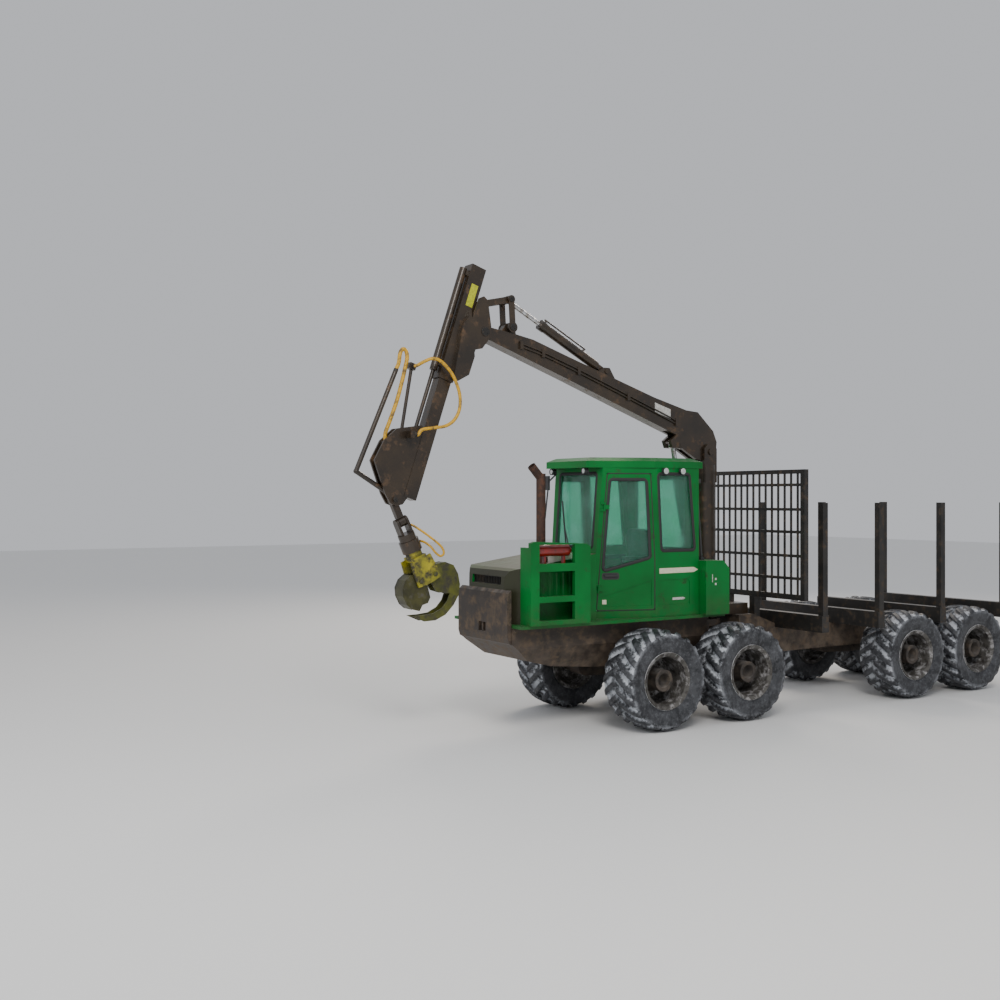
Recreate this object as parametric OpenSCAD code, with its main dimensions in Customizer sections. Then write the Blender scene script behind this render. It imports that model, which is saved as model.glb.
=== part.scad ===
// Forestry forwarder: articulated eight-wheel load carrier with a loader crane folded forward over the cab.
// Drafted with x forward from the foremost axle, y to the left and z up from the ground.
// Every node is then shifted by centre_shift, so that the origin lies under the middle of the machine.

/* [Wheels] */
// Outer radius of a tyre at its lug tips
tyre_r = 667; // [640:1:700]
// Width of a tyre
tyre_w = 600; // [540:2:620]
// Height of a tread lug
lug_h = 40; // [20:1:50]
// Number of tread lugs on each side of a tyre
lugs = 22; // [18:1:26]
// Radius of the rim flange
rim_r = 380; // [360:1:400]
// Wall of a rim
rim_wall = 14; // [10:1:20]
// Overall width over the tyres
track_outer = 2700; // [2660:2:2800]
// Distance between the two axles of one bogie
bogie_pitch = 1500; // [1440:5:1560]
// Distance from the foremost axle to the first rear axle
wheelbase = 4920; // [4860:5:5000]

/* [Front frame] */
// Front face of the hood
nose_x = 1980; // [1950:5:2010]
// Half width of the hood
hood_half = 635; // [600:5:660]
// Half width of the deck that carries the cab and the guards
deck_half = 850; // [820:5:900]
// Top of the hull and underside of the deck
hull_top = 1410; // [1390:5:1420]
// Distance of the steering hinge behind the foremost axle
hinge_back = 1950; // [1930:5:1990]
// Radius of the steering pin
steer_pin_r = 60; // [50:1:70]

/* [Cab] */
// Floor of the cab
cab_floor = 1450; // [1440:5:1460]
// Top of the cab walls
cab_top = 3480; // [3440:5:3500]
// Half width of the cab behind the doors
cab_half = 800; // [760:5:820]
// Half width of the cab at the windscreen
cab_nose_half = 500; // [460:5:540]
// Wall of the cab
cab_wall = 50; // [40:1:60]
// Backward lean of the windscreen, in degrees
screen_lean = 4.5; // [3:0.5:6]
// Thickness of the glass
glass_t = 6; // [4:1:8]
// Gap between the door and its frame
door_gap = 8; // [6:1:10]
// Thickness of the roof
roof_t = 90; // [70:5:110]

/* [Crane] */
// Radius of the crane pillar
pillar_r = 170; // [150:5:180]
// Half width of the lift boom
boom_half = 100; // [90:1:104]
// Half width of the outer boom sleeve
sleeve_half = 100; // [90:1:104]
// Depth of the outer boom sleeve
sleeve_d = 215; // [200:5:240]
// Wall of the outer boom sleeve
sleeve_wall = 12; // [8:1:16]
// Gap between the sleeve and the telescope
slide_gap = 6; // [5:1:8]
// Forward lean of the outer boom, in degrees
dipper_lean = 18.5; // [17:0.5:20]
// Backward lean of the hanging grapple, in degrees
hang_lean = 24; // [20:0.5:26]
// Radius of the large boom pins
pin_r = 45; // [35:1:50]
// Running clearance of a pin in its bore
pin_fit = 0.05; // [0.02:0.01:0.1]

/* [Load space] */
// Half width of the headboard
board_half = 1320; // [1280:5:1340]
// Top of the headboard
board_top = 3480; // [3400:10:3520]
// Number of slats in the headboard
slats = 19; // [13:2:21]
// Half distance between the stakes
stake_half = 1270; // [1240:5:1290]
// Top of the stakes
stake_top = 3000; // [2800:10:3040]

/* [Hidden] */

$fn = 48;
// Clear gap between pieces that only seat on each other
seat_gap = 0.3;
// Clear gap between pieces that move past each other
move_gap = 6;
// Upper face of the deck
deck_top = hull_top + 39.3;
// Furthest forward and rearward points of the whole machine
guard_knee = [3857, 0, 3400];
guard_r = 30;
guard_head = [3318, 0, 4653];
guard_foot = [3450, 0, 3150];
knee_r = guard_r + 3;
reach_front = guard_knee[0] + knee_r;
reach_rear = -7450;
centre_shift = -(reach_front + reach_rear) / 2;

// Axle places behind the foremost axle
axles = [0, -bogie_pitch, -wheelbase, -wheelbase - bogie_pitch];
wheel_mid_y = (track_outer - tyre_w) / 2;
tyre_in_y = wheel_mid_y - tyre_w / 2;
bead_r = 340;
hub_r = 80;
disc_y = wheel_mid_y - 90;
disc_t = 20;
tube_r = 130;

// Towing pin's bore in the rear plate
hitch_r = 25.5;
hitch_z = 940;
hitch_t = 50;

// Colours
green = [0.02, 0.36, 0.12];
hull_brown = [0.20, 0.15, 0.12];
boom_brown = [0.13, 0.10, 0.07];
steel_dark = [0.10, 0.10, 0.10];
steel_bright = [0.75, 0.76, 0.78];
hose_yellow = [0.85, 0.60, 0.05];
grapple_yellow = [0.62, 0.50, 0.05];
claw_grey = [0.22, 0.21, 0.18];
tint = [0.30, 0.62, 0.50, 0.5];

// Places in the middle plane, as [x, z]
steer_x = -hinge_back;
slew_x = -1810;
lift_pin = [slew_x, 3750];
lift_low = [-1500, 2350];
lift_high = [-1200, 3850];
jib_low = [50, 4840];
lever_pin = [1640, 5330];
lever_top = [1660, 5700];
dipper_pin = [2090, 5230];
dipper_top = dipper_pin + (lever_top - lever_pin);
tip_pin = [3360, 3050];
cross_drop = 310;
rotator_drop = 560;
claw_drop = 1080;
claw_half = 110;
boom_foot_z = 2040;

// Lanes across the machine, as half widths, for plates that pass each other
rod_lane = 38;
lift_rod_r = 36;
link_lane = [60, 92];
lever_lane = [106, 130];
dipper_lane = [138, 166];
tip_lane = [44, 76];
rear_lane = [64, 84];
front_lane = [92, 112];
frame_lane = [122, 146];

module at_centre() {
    translate([centre_shift, 0, 0]) children();
}

// Extrudes an outline in x and z between two y values
module slab(y0, y1) {
    translate([0, y1, 0]) rotate([90, 0, 0]) linear_extrude(y1 - y0) children();
}

// The same outline on both sides of the middle plane
module slab_pair(y0, y1) {
    slab(y0, y1) children();
    slab(-y1, -y0) children();
}

// A round bar along y through a place in the middle plane
module bar_y(p, r, y0, y1) {
    translate([p[0], y1, p[1]]) rotate([90, 0, 0]) cylinder(h = y1 - y0, r = r);
}

// A round bar between two places
module bar(p, q, r) {
    v = q - p;
    l = norm(v);
    translate(p) rotate([0, acos(v[2] / l), atan2(v[1], v[0])]) cylinder(h = l, r = r);
}

// An outline with its corners rounded by r
module round_off(r) {
    offset(r = r, $fn = 16) offset(delta = -r) children();
}

// Mirrors what it is given to the other side as well
module both_sides() {
    children();
    mirror([0, 1, 0]) children();
}

// A bar with round ends seen from the side, from p to q in the middle plane
module strap(p, q, rp, rq, y0, y1) {
    v = q - p;
    l = norm(v);
    half = min(rp, rq) * 0.8;
    bar_y(p, rp, y0, y1);
    bar_y(q, rq, y0, y1);
    translate([p[0], y0, p[1]]) rotate([0, -atan2(v[1], v[0]), 0])
        translate([0, 2, -half]) cube([l, y1 - y0 - 4, 2 * half]);
}

function unit(v) = v / norm(v);

// Smooth route through hand-set points, n steps between each two
function between(p, i, t) = 0.5 * (2 * p[i] + (p[i + 1] - p[max(i - 1, 0)]) * t
    + (2 * p[max(i - 1, 0)] - 5 * p[i] + 4 * p[i + 1] - p[min(i + 2, len(p) - 1)]) * t * t
    + (3 * p[i] - p[max(i - 1, 0)] - 3 * p[i + 1] + p[min(i + 2, len(p) - 1)]) * t * t * t);
function route(p, n) = concat([for (i = [0:len(p) - 2], k = [0:n - 1]) between(p, i, k / n)], [p[len(p) - 1]]);
function heading(c, i) = unit(c[min(i + 1, len(c) - 1)] - c[max(i - 1, 0)]);

// Hose of radius r swept along a route
module hose(points, r) {
    sides = 8;
    c = route(points, 4);
    last = len(c) - 1;
    rings = [for (i = [0:last], j = [0:sides - 1])
        let (t = heading(c, i), s = unit(cross(t, [0.6, 0.7, -0.4])), u = cross(s, t), a = j * 360 / sides)
        c[i] + r * (cos(a) * s + sin(a) * u)];
    polyhedron(points = rings, faces = concat(
        [for (i = [0:last - 1], j = [0:sides - 1])
            [i * sides + j, (i + 1) * sides + j, (i + 1) * sides + (j + 1) % sides, i * sides + (j + 1) % sides]],
        [[for (j = [0:sides - 1]) j], [for (j = [0:sides - 1]) last * sides + sides - 1 - j]]));
}

// Tyre: section as [radius, distance from the middle of its width]
module tyre(axle, side) {
    half = tyre_w / 2;
    outer = [[bead_r, half - 62], [bead_r + 50, half - 24], [bead_r + 130, half - 4],
        [tyre_r - 110, half], [tyre_r - lug_h - 20, half - 12], [tyre_r - lug_h, half - 60]];
    inner = [[bead_r, half - 92], [bead_r + 60, half - 52], [bead_r + 130, half - 32],
        [tyre_r - 120, half - 30], [tyre_r - lug_h - 30, half - 60]];
    flip = function (list) [for (i = [len(list) - 1:-1:0]) [list[i][0], -list[i][1]]];
    back = function (list) [for (i = [len(list) - 1:-1:0]) list[i]];
    ring = concat(outer, flip(outer), [for (p = inner) [p[0], -p[1]]], back(inner));
    color([0.06, 0.06, 0.065]) at_centre() translate([axles[axle], side * wheel_mid_y, tyre_r])
        rotate([90, 0, 0]) {
            rotate_extrude($fn = 72) polygon(ring);
            // Bars of the tread, slanting back from the middle to each shoulder and cut to the tyre's radius
            intersection() {
                cylinder(h = tyre_w - 6, r = tyre_r, center = true);
                union() for (i = [0:lugs - 1], s = [-1, 1]) {
                    rotate([0, 0, (i + (s > 0 ? 0.5 : 0)) * 360 / lugs]) translate([tyre_r - lug_h - 45, 0, 8 * s])
                        rotate([lug_slant * s * side, 0, 0]) translate([0, -lug_w / 2, s > 0 ? 0 : -lug_long])
                            cube([lug_h + 60, lug_w, lug_long]);
                }
            }
        }
}
lug_slant = 34;
lug_w = 70;
lug_long = (tyre_w / 2 - 24) / cos(lug_slant);

// Rim: barrel, deep dished disc and hub with a bore for the stub axle
module rim(axle, side) {
    half = tyre_w / 2;
    well = bead_r - seat_gap;
    disc_at = disc_y - wheel_mid_y;
    section = [[hub_r + pin_fit, disc_at - 60], [hub_r + 50, disc_at - 60], [hub_r + 50, disc_at],
        [well - 110, disc_at], [well - rim_wall, disc_at - 60], [well - rim_wall, -half + 46],
        [rim_r - 4, 30 - rim_wall - half], [rim_r, 30 - half], [well, -half + 61], [well, half - 61],
        [rim_r, half - 30], [rim_r - 4, half - 30 + rim_wall], [well - rim_wall, half - 46],
        [well - rim_wall, disc_at - 30], [well - 110, disc_at + disc_t], [hub_r + 70, disc_at + disc_t],
        [hub_r + 60, disc_at + disc_t + 50], [hub_r + pin_fit, disc_at + disc_t + 50]];
    color([0.45, 0.44, 0.42]) at_centre() translate([axles[axle], side * wheel_mid_y, tyre_r])
        rotate([-90 * side, 0, 0]) rotate_extrude($fn = 72) polygon(section);
}

// One bogie: gear cases on both sides, the axle tube across and the stub axles
module bogies(first) {
    mid = [(axles[first] + axles[first + 1]) / 2, tyre_r];
    case_in = 470;
    case_out = tyre_in_y - 20;
    color(hull_brown) at_centre() {
        both_sides() {
            slab(case_in, case_out) round_off(60) hull() {
                for (i = [first, first + 1]) {
                    translate([axles[i], tyre_r]) circle(r = 150, $fn = 32);
                }
                translate([mid[0] - 220, mid[1] - 170]) square([440, 340]);
            }
            for (i = [first, first + 1]) {
                bar_y([axles[i], tyre_r], hub_r, case_out - 1, disc_y + 60);
                bar_y([axles[i], tyre_r], hub_r + 40, case_out - 1, disc_y - 60 - move_gap);
            }
        }
        bar_y(mid, tube_r, -case_in - 1, case_in + 1);
    }
}

// Hull: side outline cut to a belly, with the tail that carries the steering fork
module front_frame() {
    hull_half = 640;
    belly_half = 430;
    tail_half = 300;
    side = [[nose_x, hull_top], [nose_x, 1200], [1680, 960], [1280, 860], [500, 790], [-1150, 790],
        [-1300, 900], [-1300, hull_top]];
    fork_r = 130;
    color(hull_brown) at_centre() {
        difference() {
            intersection() {
                slab(-hull_half, hull_half) polygon(side);
                rotate([90, 0, 90]) translate([0, 0, -1400]) linear_extrude(nose_x + 1500)
                    polygon([[-hull_half, hull_top + 1], [-hull_half, 1130], [-belly_half, 780],
                        [belly_half, 780], [hull_half, 1130], [hull_half, hull_top + 1]]);
            }
            bar_y([(axles[0] + axles[1]) / 2, tyre_r], tube_r + seat_gap, -700, 700);
        }
        // Lip along the top of the hull
        for (s = [-1, 1]) {
            translate([-1300, s * (hull_half + 5) - 15, hull_top - 60]) cube([nose_x + 1290, 30, 50]);
        }
        // Tail and the two fork plates round the steering pin
        difference() {
            union() {
                translate([-1640, -tail_half, 800]) cube([345, 2 * tail_half, 480]);
                for (s = [-1, 1]) {
                    translate([steer_front[0], s * steer_front[1], steer_z + 26]) cylinder(h = 60, r = 60);
                }
                for (z = [800, 1180]) {
                    translate([steer_x, 0, z]) cylinder(h = 100, r = fork_r);
                    translate([steer_x, -fork_r, z]) cube([-1600 - steer_x, 2 * fork_r, 100]);
                }
            }
            translate([steer_x, 0, 700]) cylinder(h = 700, r = steer_pin_r + pin_fit);
            for (s = [-1, 1]) {
                translate([steer_front[0], s * steer_front[1], 700]) cylinder(h = 160, r = 25 + pin_fit);
            }
        }
    }
}

// Places of the steering cylinders' pins on the left, as [x, y], and their height
steer_front = [-1600, 220];
steer_rear = [-2325, 220];
steer_z = 740;

// Heavy front box below the grille
bumper_x = nose_x + 62;
module bumper() {
    color(hull_brown) at_centre() {
        difference() {
            slab(-620, 620) polygon([[nose_x + seat_gap, 1195], [bumper_x - 22, 1215], [bumper_x, 1290],
                [bumper_x, 1770], [bumper_x - 16, 1850], [nose_x + seat_gap, 1890]]);
            // Recess for the towing eye
            translate([bumper_x - 40, -90, 1330]) cube([50, 180, 120]);
        }
        translate([bumper_x - 41, -12, 1340]) cube([36, 24, 100]);
    }
}

// Height of the hood's upper face at x, from its brow back to the cab
hood_brow = [nose_x - 120, 2160];
hood_back = [650, 2330];
function hood_line(x) = hood_brow[1] + (hood_brow[0] - x) * (hood_back[1] - hood_brow[1]) / (hood_brow[0] - hood_back[0]);

// Hood: side outline with the rounded brow over the grille, hollow inside
module hood() {
    low = deck_top + seat_gap;
    side = [[nose_x, low], [nose_x, 1960], [nose_x - 10, 2060], [nose_x - 50, 2130],
        hood_brow, hood_back, [650, low]];
    wall = 40;
    color(green) at_centre() {
        difference() {
            slab(-hood_half, hood_half) polygon(side);
            slab(-hood_half + wall, hood_half - wall) polygon([[nose_x - 4 * wall, hull_top], [nose_x - 4 * wall, 2040],
                [nose_x - 180, 2150 - wall], [690, 2330 - wall], [690, hull_top]]);
            // Corners cut away in plan and along the upper edges
            both_sides() {
                translate([nose_x - 150, hood_half + 1, low - 1]) rotate([0, 0, -53]) cube([400, 300, 1000]);
            }
            // Mouth for the grille, open into the engine bay
            translate([nose_x - 5 * wall, -grille_half, 1945]) cube([5 * wall + 10, 2 * grille_half, grille_h]);
        }
    }
}
grille_half = 360;
grille_h = 110;

module grille() {
    color(steel_dark) at_centre() {
        translate([nose_x - 60, seat_gap - grille_half, 1945 + seat_gap]) {
            for (z = [0, grille_h - 2 * seat_gap - 8]) {
                translate([0, 0, z]) cube([30, 2 * (grille_half - seat_gap), 8]);
            }
            for (i = [0:18]) {
                translate([0, i * (2 * grille_half - 10) / 18, 0]) cube([24, 9, grille_h - 2 * seat_gap]);
            }
        }
    }
}

// One plain block for the engine
module engine() {
    color(steel_dark) at_centre() {
        translate([800, -350, deck_top + seat_gap]) cube([1000, 700, 560]);
    }
}

// Height of the guards' upper edge at x
guard_top = [[1000, 2480], [1840, 2520]];
function guard_line(x) = guard_top[0][1] + (x - guard_top[0][0]) * (guard_top[1][1] - guard_top[0][1]) / (guard_top[1][0] - guard_top[0][0]);

rung_top = 2193;

// Step guard beside the hood on the left, with rungs and three openings
module side_guards() {
    front = 1860;
    rear = 960;
    post = 130;
    rear_post = 220;
    y0 = hood_half + 10;
    y1 = deck_half + 40;
    low = deck_top + seat_gap;
    openings = [[low + 60, 1740], [1816, 2133], [2234, 2475]];
    color(green) at_centre() {
        slab(y1 - 60, y1) difference() {
            polygon([[front, low], [front, 2500], [front - 60, guard_line(front - 60)], guard_top[0], [rear - 30, 2450],
                [rear - 30, low]]);
            for (z = openings) {
                translate([rear + rear_post, z[0]]) square([front - post - rear - rear_post, z[1] - z[0]]);
            }
        }
        for (x = [front - 50, rear - 30]) {
            translate([x, y0, low]) cube([50, y1 - y0 - 30, 990]);
        }
        for (z = [1800, rung_top]) {
            translate([rear, y0, z - 40]) cube([front - rear - 20, y1 - y0 - 30, 40]);
        }
    }
}

// Exhaust stack with its bent top
module exhaust() {
    foot = [1380, 400];
    r = 62;
    bend = [foot[0] + 12, foot[1], 3340];
    mouth = [foot[0] + 150, foot[1], 3490];
    color([0.16, 0.10, 0.08]) at_centre() difference() {
        union() {
            bar([foot[0], foot[1], 2200], [foot[0], foot[1], 3390], r);
            bar([foot[0], foot[1], 2200], [foot[0], foot[1], 2300], 90);
            bar(bend, mouth, r - 6);
        }
        // Cut to the slope of the hood that it stands on
        slab(200, 600) polygon([[1100, 2000], [1100, hood_line(1100) + seat_gap],
            [1700, hood_line(1700) + seat_gap], [1700, 2000]]);
        bar(bend + (mouth - bend) * 0.7, mouth + (mouth - bend) * 0.1, r - 14);
    }
}

// Red bottle that lies on the upper rung of the guard
module extinguisher() {
    r = 75;
    axis_z = rung_top + 202;
    y = deck_half - 105;
    color([0.6, 0.03, 0.02]) at_centre() {
        for (x = [1250, 1550]) {
            translate([x, y - 25, rung_top + seat_gap]) cube([30, 50, axis_z - r - rung_top + 10]);
        }
        translate([1200, y, axis_z]) rotate([0, 90, 0]) cylinder(h = 480, r = r);
        translate([1150, y, axis_z]) rotate([0, 90, 0]) cylinder(h = 60, r = 30);
        translate([1679, y, axis_z]) rotate([0, 90, 0]) cylinder(h = 30, r1 = r, r2 = r - 25);
    }
}

// Deck: the green sill that carries the cab
module deck() {
    color(green) at_centre() {
        translate([-1440, -deck_half, hull_top + seat_gap])
            cube([nose_x + 1440 - 10, 2 * deck_half, deck_top - hull_top - seat_gap]);
    }
}

// Plan of the cab: front corners, door rear edges and rear corners
door_front = [640, cab_nose_half];
door_rear = [-250, cab_half];
cab_rear = -1000;
lean = tan(screen_lean);
door_angle = atan2(door_rear[1] - door_front[1], door_front[0] - door_rear[0]);
door_long = norm(door_rear - door_front);

module cab_plan(inset) {
    offset(delta = -inset) polygon([door_front, door_rear, [cab_rear, cab_half],
        [cab_rear, -cab_half], [door_rear[0], -door_rear[1]], [door_front[0], -door_front[1]]]);
}

// Side outline of the cab, leaning at the windscreen
module cab_side(inset) {
    polygon([[door_front[0] - inset, cab_floor + inset], [door_front[0] - inset - lean * (cab_top - cab_floor),
        cab_top + 1], [cab_rear + inset, cab_top + 1], [cab_rear + inset, cab_floor + inset]]);
}

module cab_body(inset) {
    intersection() {
        translate([0, 0, cab_floor - 5]) linear_extrude(cab_top - cab_floor + 5) cab_plan(inset);
        slab(-cab_half - 10, cab_half + 10) cab_side(inset);
    }
}

// Frame of a door panel: x runs backward along it, y inward from its face
module door_plane(side) {
    scale([1, side, 1]) translate([door_front[0], door_front[1], 0]) rotate([0, 0, 180 - door_angle]) children();
}

door_lean = lean / cos(door_angle);
sill_z = 2240;
door_low = 1555;
door_high = 3400;

// Outline of the door or of its opening, in its own plane, grown by g
module door_outline(g) {
    s0 = 70;
    s1 = door_long - 30;
    x_at = function (z) s0 - g + door_lean * (z - cab_floor);
    polygon([[x_at(door_low - g), door_low - g], [x_at(door_high + g), door_high + g],
        [s1 + g - 60, door_high + g], [s1 + g, sill_z], [s1 + g, door_low - g]]);
}

// Outline of the door window, grown by g
module door_window(g) {
    x_at = function (z) 112 - g + door_lean * (z - cab_floor);
    polygon([[x_at(sill_z - 160 - g), sill_z - 160 - g], [x_at(door_high - 80 + g), door_high - 80 + g],
        [door_long - 150 + g, door_high - 80 + g], [door_long - 95 + g, sill_z + 20 - g]]);
}

module side_window(g) {
    polygon([[-330 + g, sill_z + 110 - g], [-270 + g, 3400 + g], [-830 - g, 3400 + g], [-930 - g, sill_z + 110 - g]]);
}

module rear_window(g) {
    translate([-560 - g, 2350 - g]) square([1120 + 2 * g, 1000 + 2 * g]);
}

module front_window(g) {
    translate([-cab_nose_half + 70 - g, 0 - g]) square([2 * cab_nose_half - 140 + 2 * g, 1010 + 2 * g]);
}

// Frame of the windscreen: x to the left, y up along the glass and z outward
module screen_plane() {
    foot_z = 2400;
    translate([door_front[0] - lean * (foot_z - cab_floor), 0, foot_z]) rotate([0, -screen_lean, 0])
        rotate([90, 0, 90]) children();
}

// Frame of the door's hinge at height z: the local z runs up along the hinge's axis
hinge_s = 66;
hinge_out = 18;
module door_hinge(z) {
    door_plane(1) translate([hinge_s + door_lean * (z - cab_floor), -hinge_out, z])
        rotate([0, atan(door_lean), 0]) children();
}
hinge_places = [1850, 2950];

// Mirror rail: from under the roof out, down and back to the guard
rail_r = 11;
rail = [[560, -440, cab_top - 0.4], [560, -440, 3400], [660, -470, 3300], [745, -470, 2620], [745, -470, 2450]];

// Shallow pressed pockets in the lower panels
pocket_d = 8;
pocket_low = 1610;
pocket_mid = 1740;
pocket_top = 1955;

module cab_shell() {
    color(green) at_centre() for (z = hinge_places) {
        door_hinge(z) {
            translate([0, 0, -60]) cylinder(h = 120, r = 6);
            for (z0 = [-60, 32]) {
                translate([0, 0, z0]) cylinder(h = 28, r = 12);
                translate([-54, -2, z0]) cube([50, hinge_out + 6, 28]);
                translate([-10, -4, z0]) cube([8, 8, 28]);
            }
        }
    }
    color(green) at_centre() difference() {
        cab_body(0);
        cab_body(cab_wall);
        door_plane(1) translate([0, -20, 0]) slab(-1, cab_wall + 40) door_outline(door_gap);
        door_plane(-1) slab(-20, cab_wall + 40) door_window(0);
        both_sides() slab(cab_half - cab_wall - 20, cab_half + 20) side_window(0);
        both_sides() slab(cab_half - pocket_d, cab_half + 1) polygon([[-300, pocket_low], [-300, pocket_top],
            [-800, pocket_top], [-835, pocket_top - 40], [-835, pocket_low]]);
        translate([cab_rear - 20, 0, 0]) rotate([90, 0, 90]) linear_extrude(cab_wall + 40) rear_window(0);
        screen_plane() translate([0, 0, -cab_wall - 40]) linear_extrude(cab_wall + 80) front_window(0);
    }
}

module cab_roof() {
    over = 60;
    front = 700;
    plan = [[front, 470], [-200, cab_half + 10], [cab_rear - over, cab_half + 10], [cab_rear - over, -cab_half - 10],
        [-200, -cab_half - 10], [front, -470]];
    color(green) at_centre() {
        translate([0, 0, cab_top + seat_gap]) linear_extrude(roof_t) polygon(plan);
        translate([-150, 0, cab_top + roof_t]) linear_extrude(50, scale = 0.86) translate([150, 0]) polygon(plan);
    }
}

// Lamps, wiper, mirror rail and rear strut of the cab
module cab_fittings() {
    roof_low = cab_top + seat_gap;
    color(steel_dark) at_centre() {
        both_sides() for (x = [-360, -660]) {
            translate([x, cab_half + seat_gap, 3436]) rotate([-90, 0, 0]) {
                cylinder(h = 26, r = 24);
                translate([0, 0, 20]) cylinder(h = 46, r = 42);
            }
        }
        both_sides() for (p = [[645, 380, 1], [cab_rear - 30 - seat_gap, 560, -1]]) {
            translate([p[0], p[1], roof_low - 45]) rotate([0, p[2] * 90, 0]) difference() {
                translate([0, 0, -30]) cylinder(h = 70, r = 44);
                translate([0, 0, 28]) cylinder(h = 20, r = 36);
            }
            translate([p[0] - 12, p[1] - 20, roof_low - 40]) cube([24, 40, 40 - seat_gap]);
        }
        // Wiper on its boss under the windscreen
        screen_plane() {
            translate([-60, -60, seat_gap]) cylinder(h = 26, r = 22);
            hull() {
                translate([-60, -60, 18]) cylinder(h = 8, r = 12);
                translate([-250, 330, 18]) cylinder(h = 8, r = 7);
            }
            translate([-250, 330, 4]) rotate([0, 0, 14]) translate([-8, -310, 0]) cube([16, 620, 15]);
        }
        // Mirror rail on the far side, from the roof down to the guard
        for (k = [0:len(rail) - 2]) {
            bar(rail[k], rail[k + 1], rail_r);
        }
        for (k = [1:len(rail) - 2]) {
            translate(rail[k]) sphere(r = rail_r + 1);
        }
        translate(rail[2] - [14, 60, 120]) cube([28, 70, 200]);
        // Strut behind the cab
        both_sides() {
            bar([-1030, 720, 3300], [-1120, 720, 2230], 16);
            translate([cab_rear - 0 - 95, 705, 3280]) cube([95 - seat_gap, 30, 60]);
            translate([-1150, 695, 2200 + seat_gap]) cube([60, 50, 40]);
        }
    }
}

module cab_glass() {
    g = -seat_gap;
    mid = (cab_wall - glass_t) / 2;
    color(tint) at_centre() {
        door_plane(-1) slab(mid, mid + glass_t) door_window(g);
        both_sides() slab(cab_half - mid - glass_t, cab_half - mid) side_window(g);
        translate([cab_rear + mid, 0, 0]) rotate([90, 0, 90]) linear_extrude(glass_t) rear_window(g);
        screen_plane() translate([0, 0, -mid - glass_t]) linear_extrude(glass_t) front_window(g);
    }
}

module door() {
    color(green) at_centre() for (z = hinge_places) {
        door_hinge(z) difference() {
            union() {
                translate([0, 0, -30]) cylinder(h = 60, r = 12);
                translate([2, -8, -30]) cube([60, 12, 60]);
                translate([14, -8, -30]) cube([48, hinge_out + 12, 60]);
            }
            translate([0, 0, -40]) cylinder(h = 80, r = 6 + pin_fit);
        }
    }
    color(green) at_centre() door_plane(1) {
        difference() {
            slab(0, cab_wall) door_outline(0);
            slab(-10, cab_wall + 10) door_window(0);
            slab(-1, pocket_d) polygon([[150, pocket_low], [150, pocket_mid], [door_long - 75, pocket_top],
                [door_long - 75, pocket_low]]);
        }
    }
}

module door_glass() {
    mid = (cab_wall - glass_t) / 2;
    color(tint) at_centre() door_plane(1) slab(mid, mid + glass_t) door_window(-seat_gap);
}

// Operator's seat on its pedestal
module seat() {
    x = -350;
    floor_z = cab_floor + cab_wall + seat_gap;
    color([0.12, 0.12, 0.13]) at_centre() {
        translate([x, 0, floor_z]) cylinder(h = 400, r = 110);
        translate([x - 260, -260, floor_z + 400]) cube([520, 520, 120]);
        translate([x - 250, -240, floor_z + 500]) rotate([0, -8, 0]) cube([110, 480, 640]);
        // Arm rests with a lever each
        both_sides() {
            translate([x - 180, 255, floor_z + 450]) cube([60, 40, 260]);
            translate([x - 180, 250, floor_z + 700]) cube([480, 90, 60]);
            translate([x + 240, 295, floor_z + 755]) cylinder(h = 120, r = 16);
            translate([x + 240, 295, floor_z + 880]) sphere(r = 26);
        }
    }
}

// Closed green boxes behind the cab
module rear_boxes() {
    low = deck_top + seat_gap;
    color(green) at_centre() both_sides() {
        slab(470, deck_half + 90) polygon([[cab_rear - 8, low], [cab_rear - 8, 2200],
            [-1330, 2200], [-1440, 2090], [-1440, low]]);
    }
}

// Rear frame: pivot block, main beams and cross members
module rear_frame() {
    rear_end = reach_rear;
    color(hull_brown) at_centre() {
        difference() {
            union() {
                translate([steer_x, 0, 900 + move_gap]) cylinder(h = 280 - 2 * move_gap, r = 120);
                translate([-2250, -120, 900 + move_gap]) cube([2250 + steer_x, 240, 280 - 2 * move_gap]);
                translate([-2500, -beam_half, 800]) cube([300, 2 * beam_half, 540]);
            }
        }
        both_sides() {
            difference() {
                slab(beam_half - 110, beam_half) polygon([[-2490, 740], beam_top[1], beam_top[0],
                    [rear_end, 1120], [rear_end, 860], [-7000, 760]]);
                bar_y([(axles[2] + axles[3]) / 2, tyre_r], tube_r + seat_gap, 0, beam_half + 10);
            }
            translate([steer_rear[0], steer_rear[1], steer_z + 31]) cylinder(h = 60, r = 60);
        }
        for (x = [-3400, -4300, -5200, -6200, -7100]) {
            translate([x, -beam_half + 100, 860]) cube([120, 2 * beam_half - 200, 200]);
        }
        // Drawbar plate with the bore for a towing pin
        difference() {
            translate([rear_end, 101 - beam_half, hitch_z]) cube([230, 2 * beam_half - 202, hitch_t]);
            translate([rear_end + 80, 0, hitch_z - 1]) cylinder(h = hitch_t + 2, r = hitch_r);
        }
        // Steering pin, held in the pivot block
        translate([steer_x, 0, 802]) cylinder(h = 500, r = steer_pin_r);
    }
}

// Height of the sloping top of the rear beams at x
beam_half = 330;
beam_top = [[-3100, 1120], [-2490, 1340]];
function beam_line(x) = beam_top[0][1] + (x - beam_top[0][0]) * (beam_top[1][1] - beam_top[0][1]) / (beam_top[1][0] - beam_top[0][0]);

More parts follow.
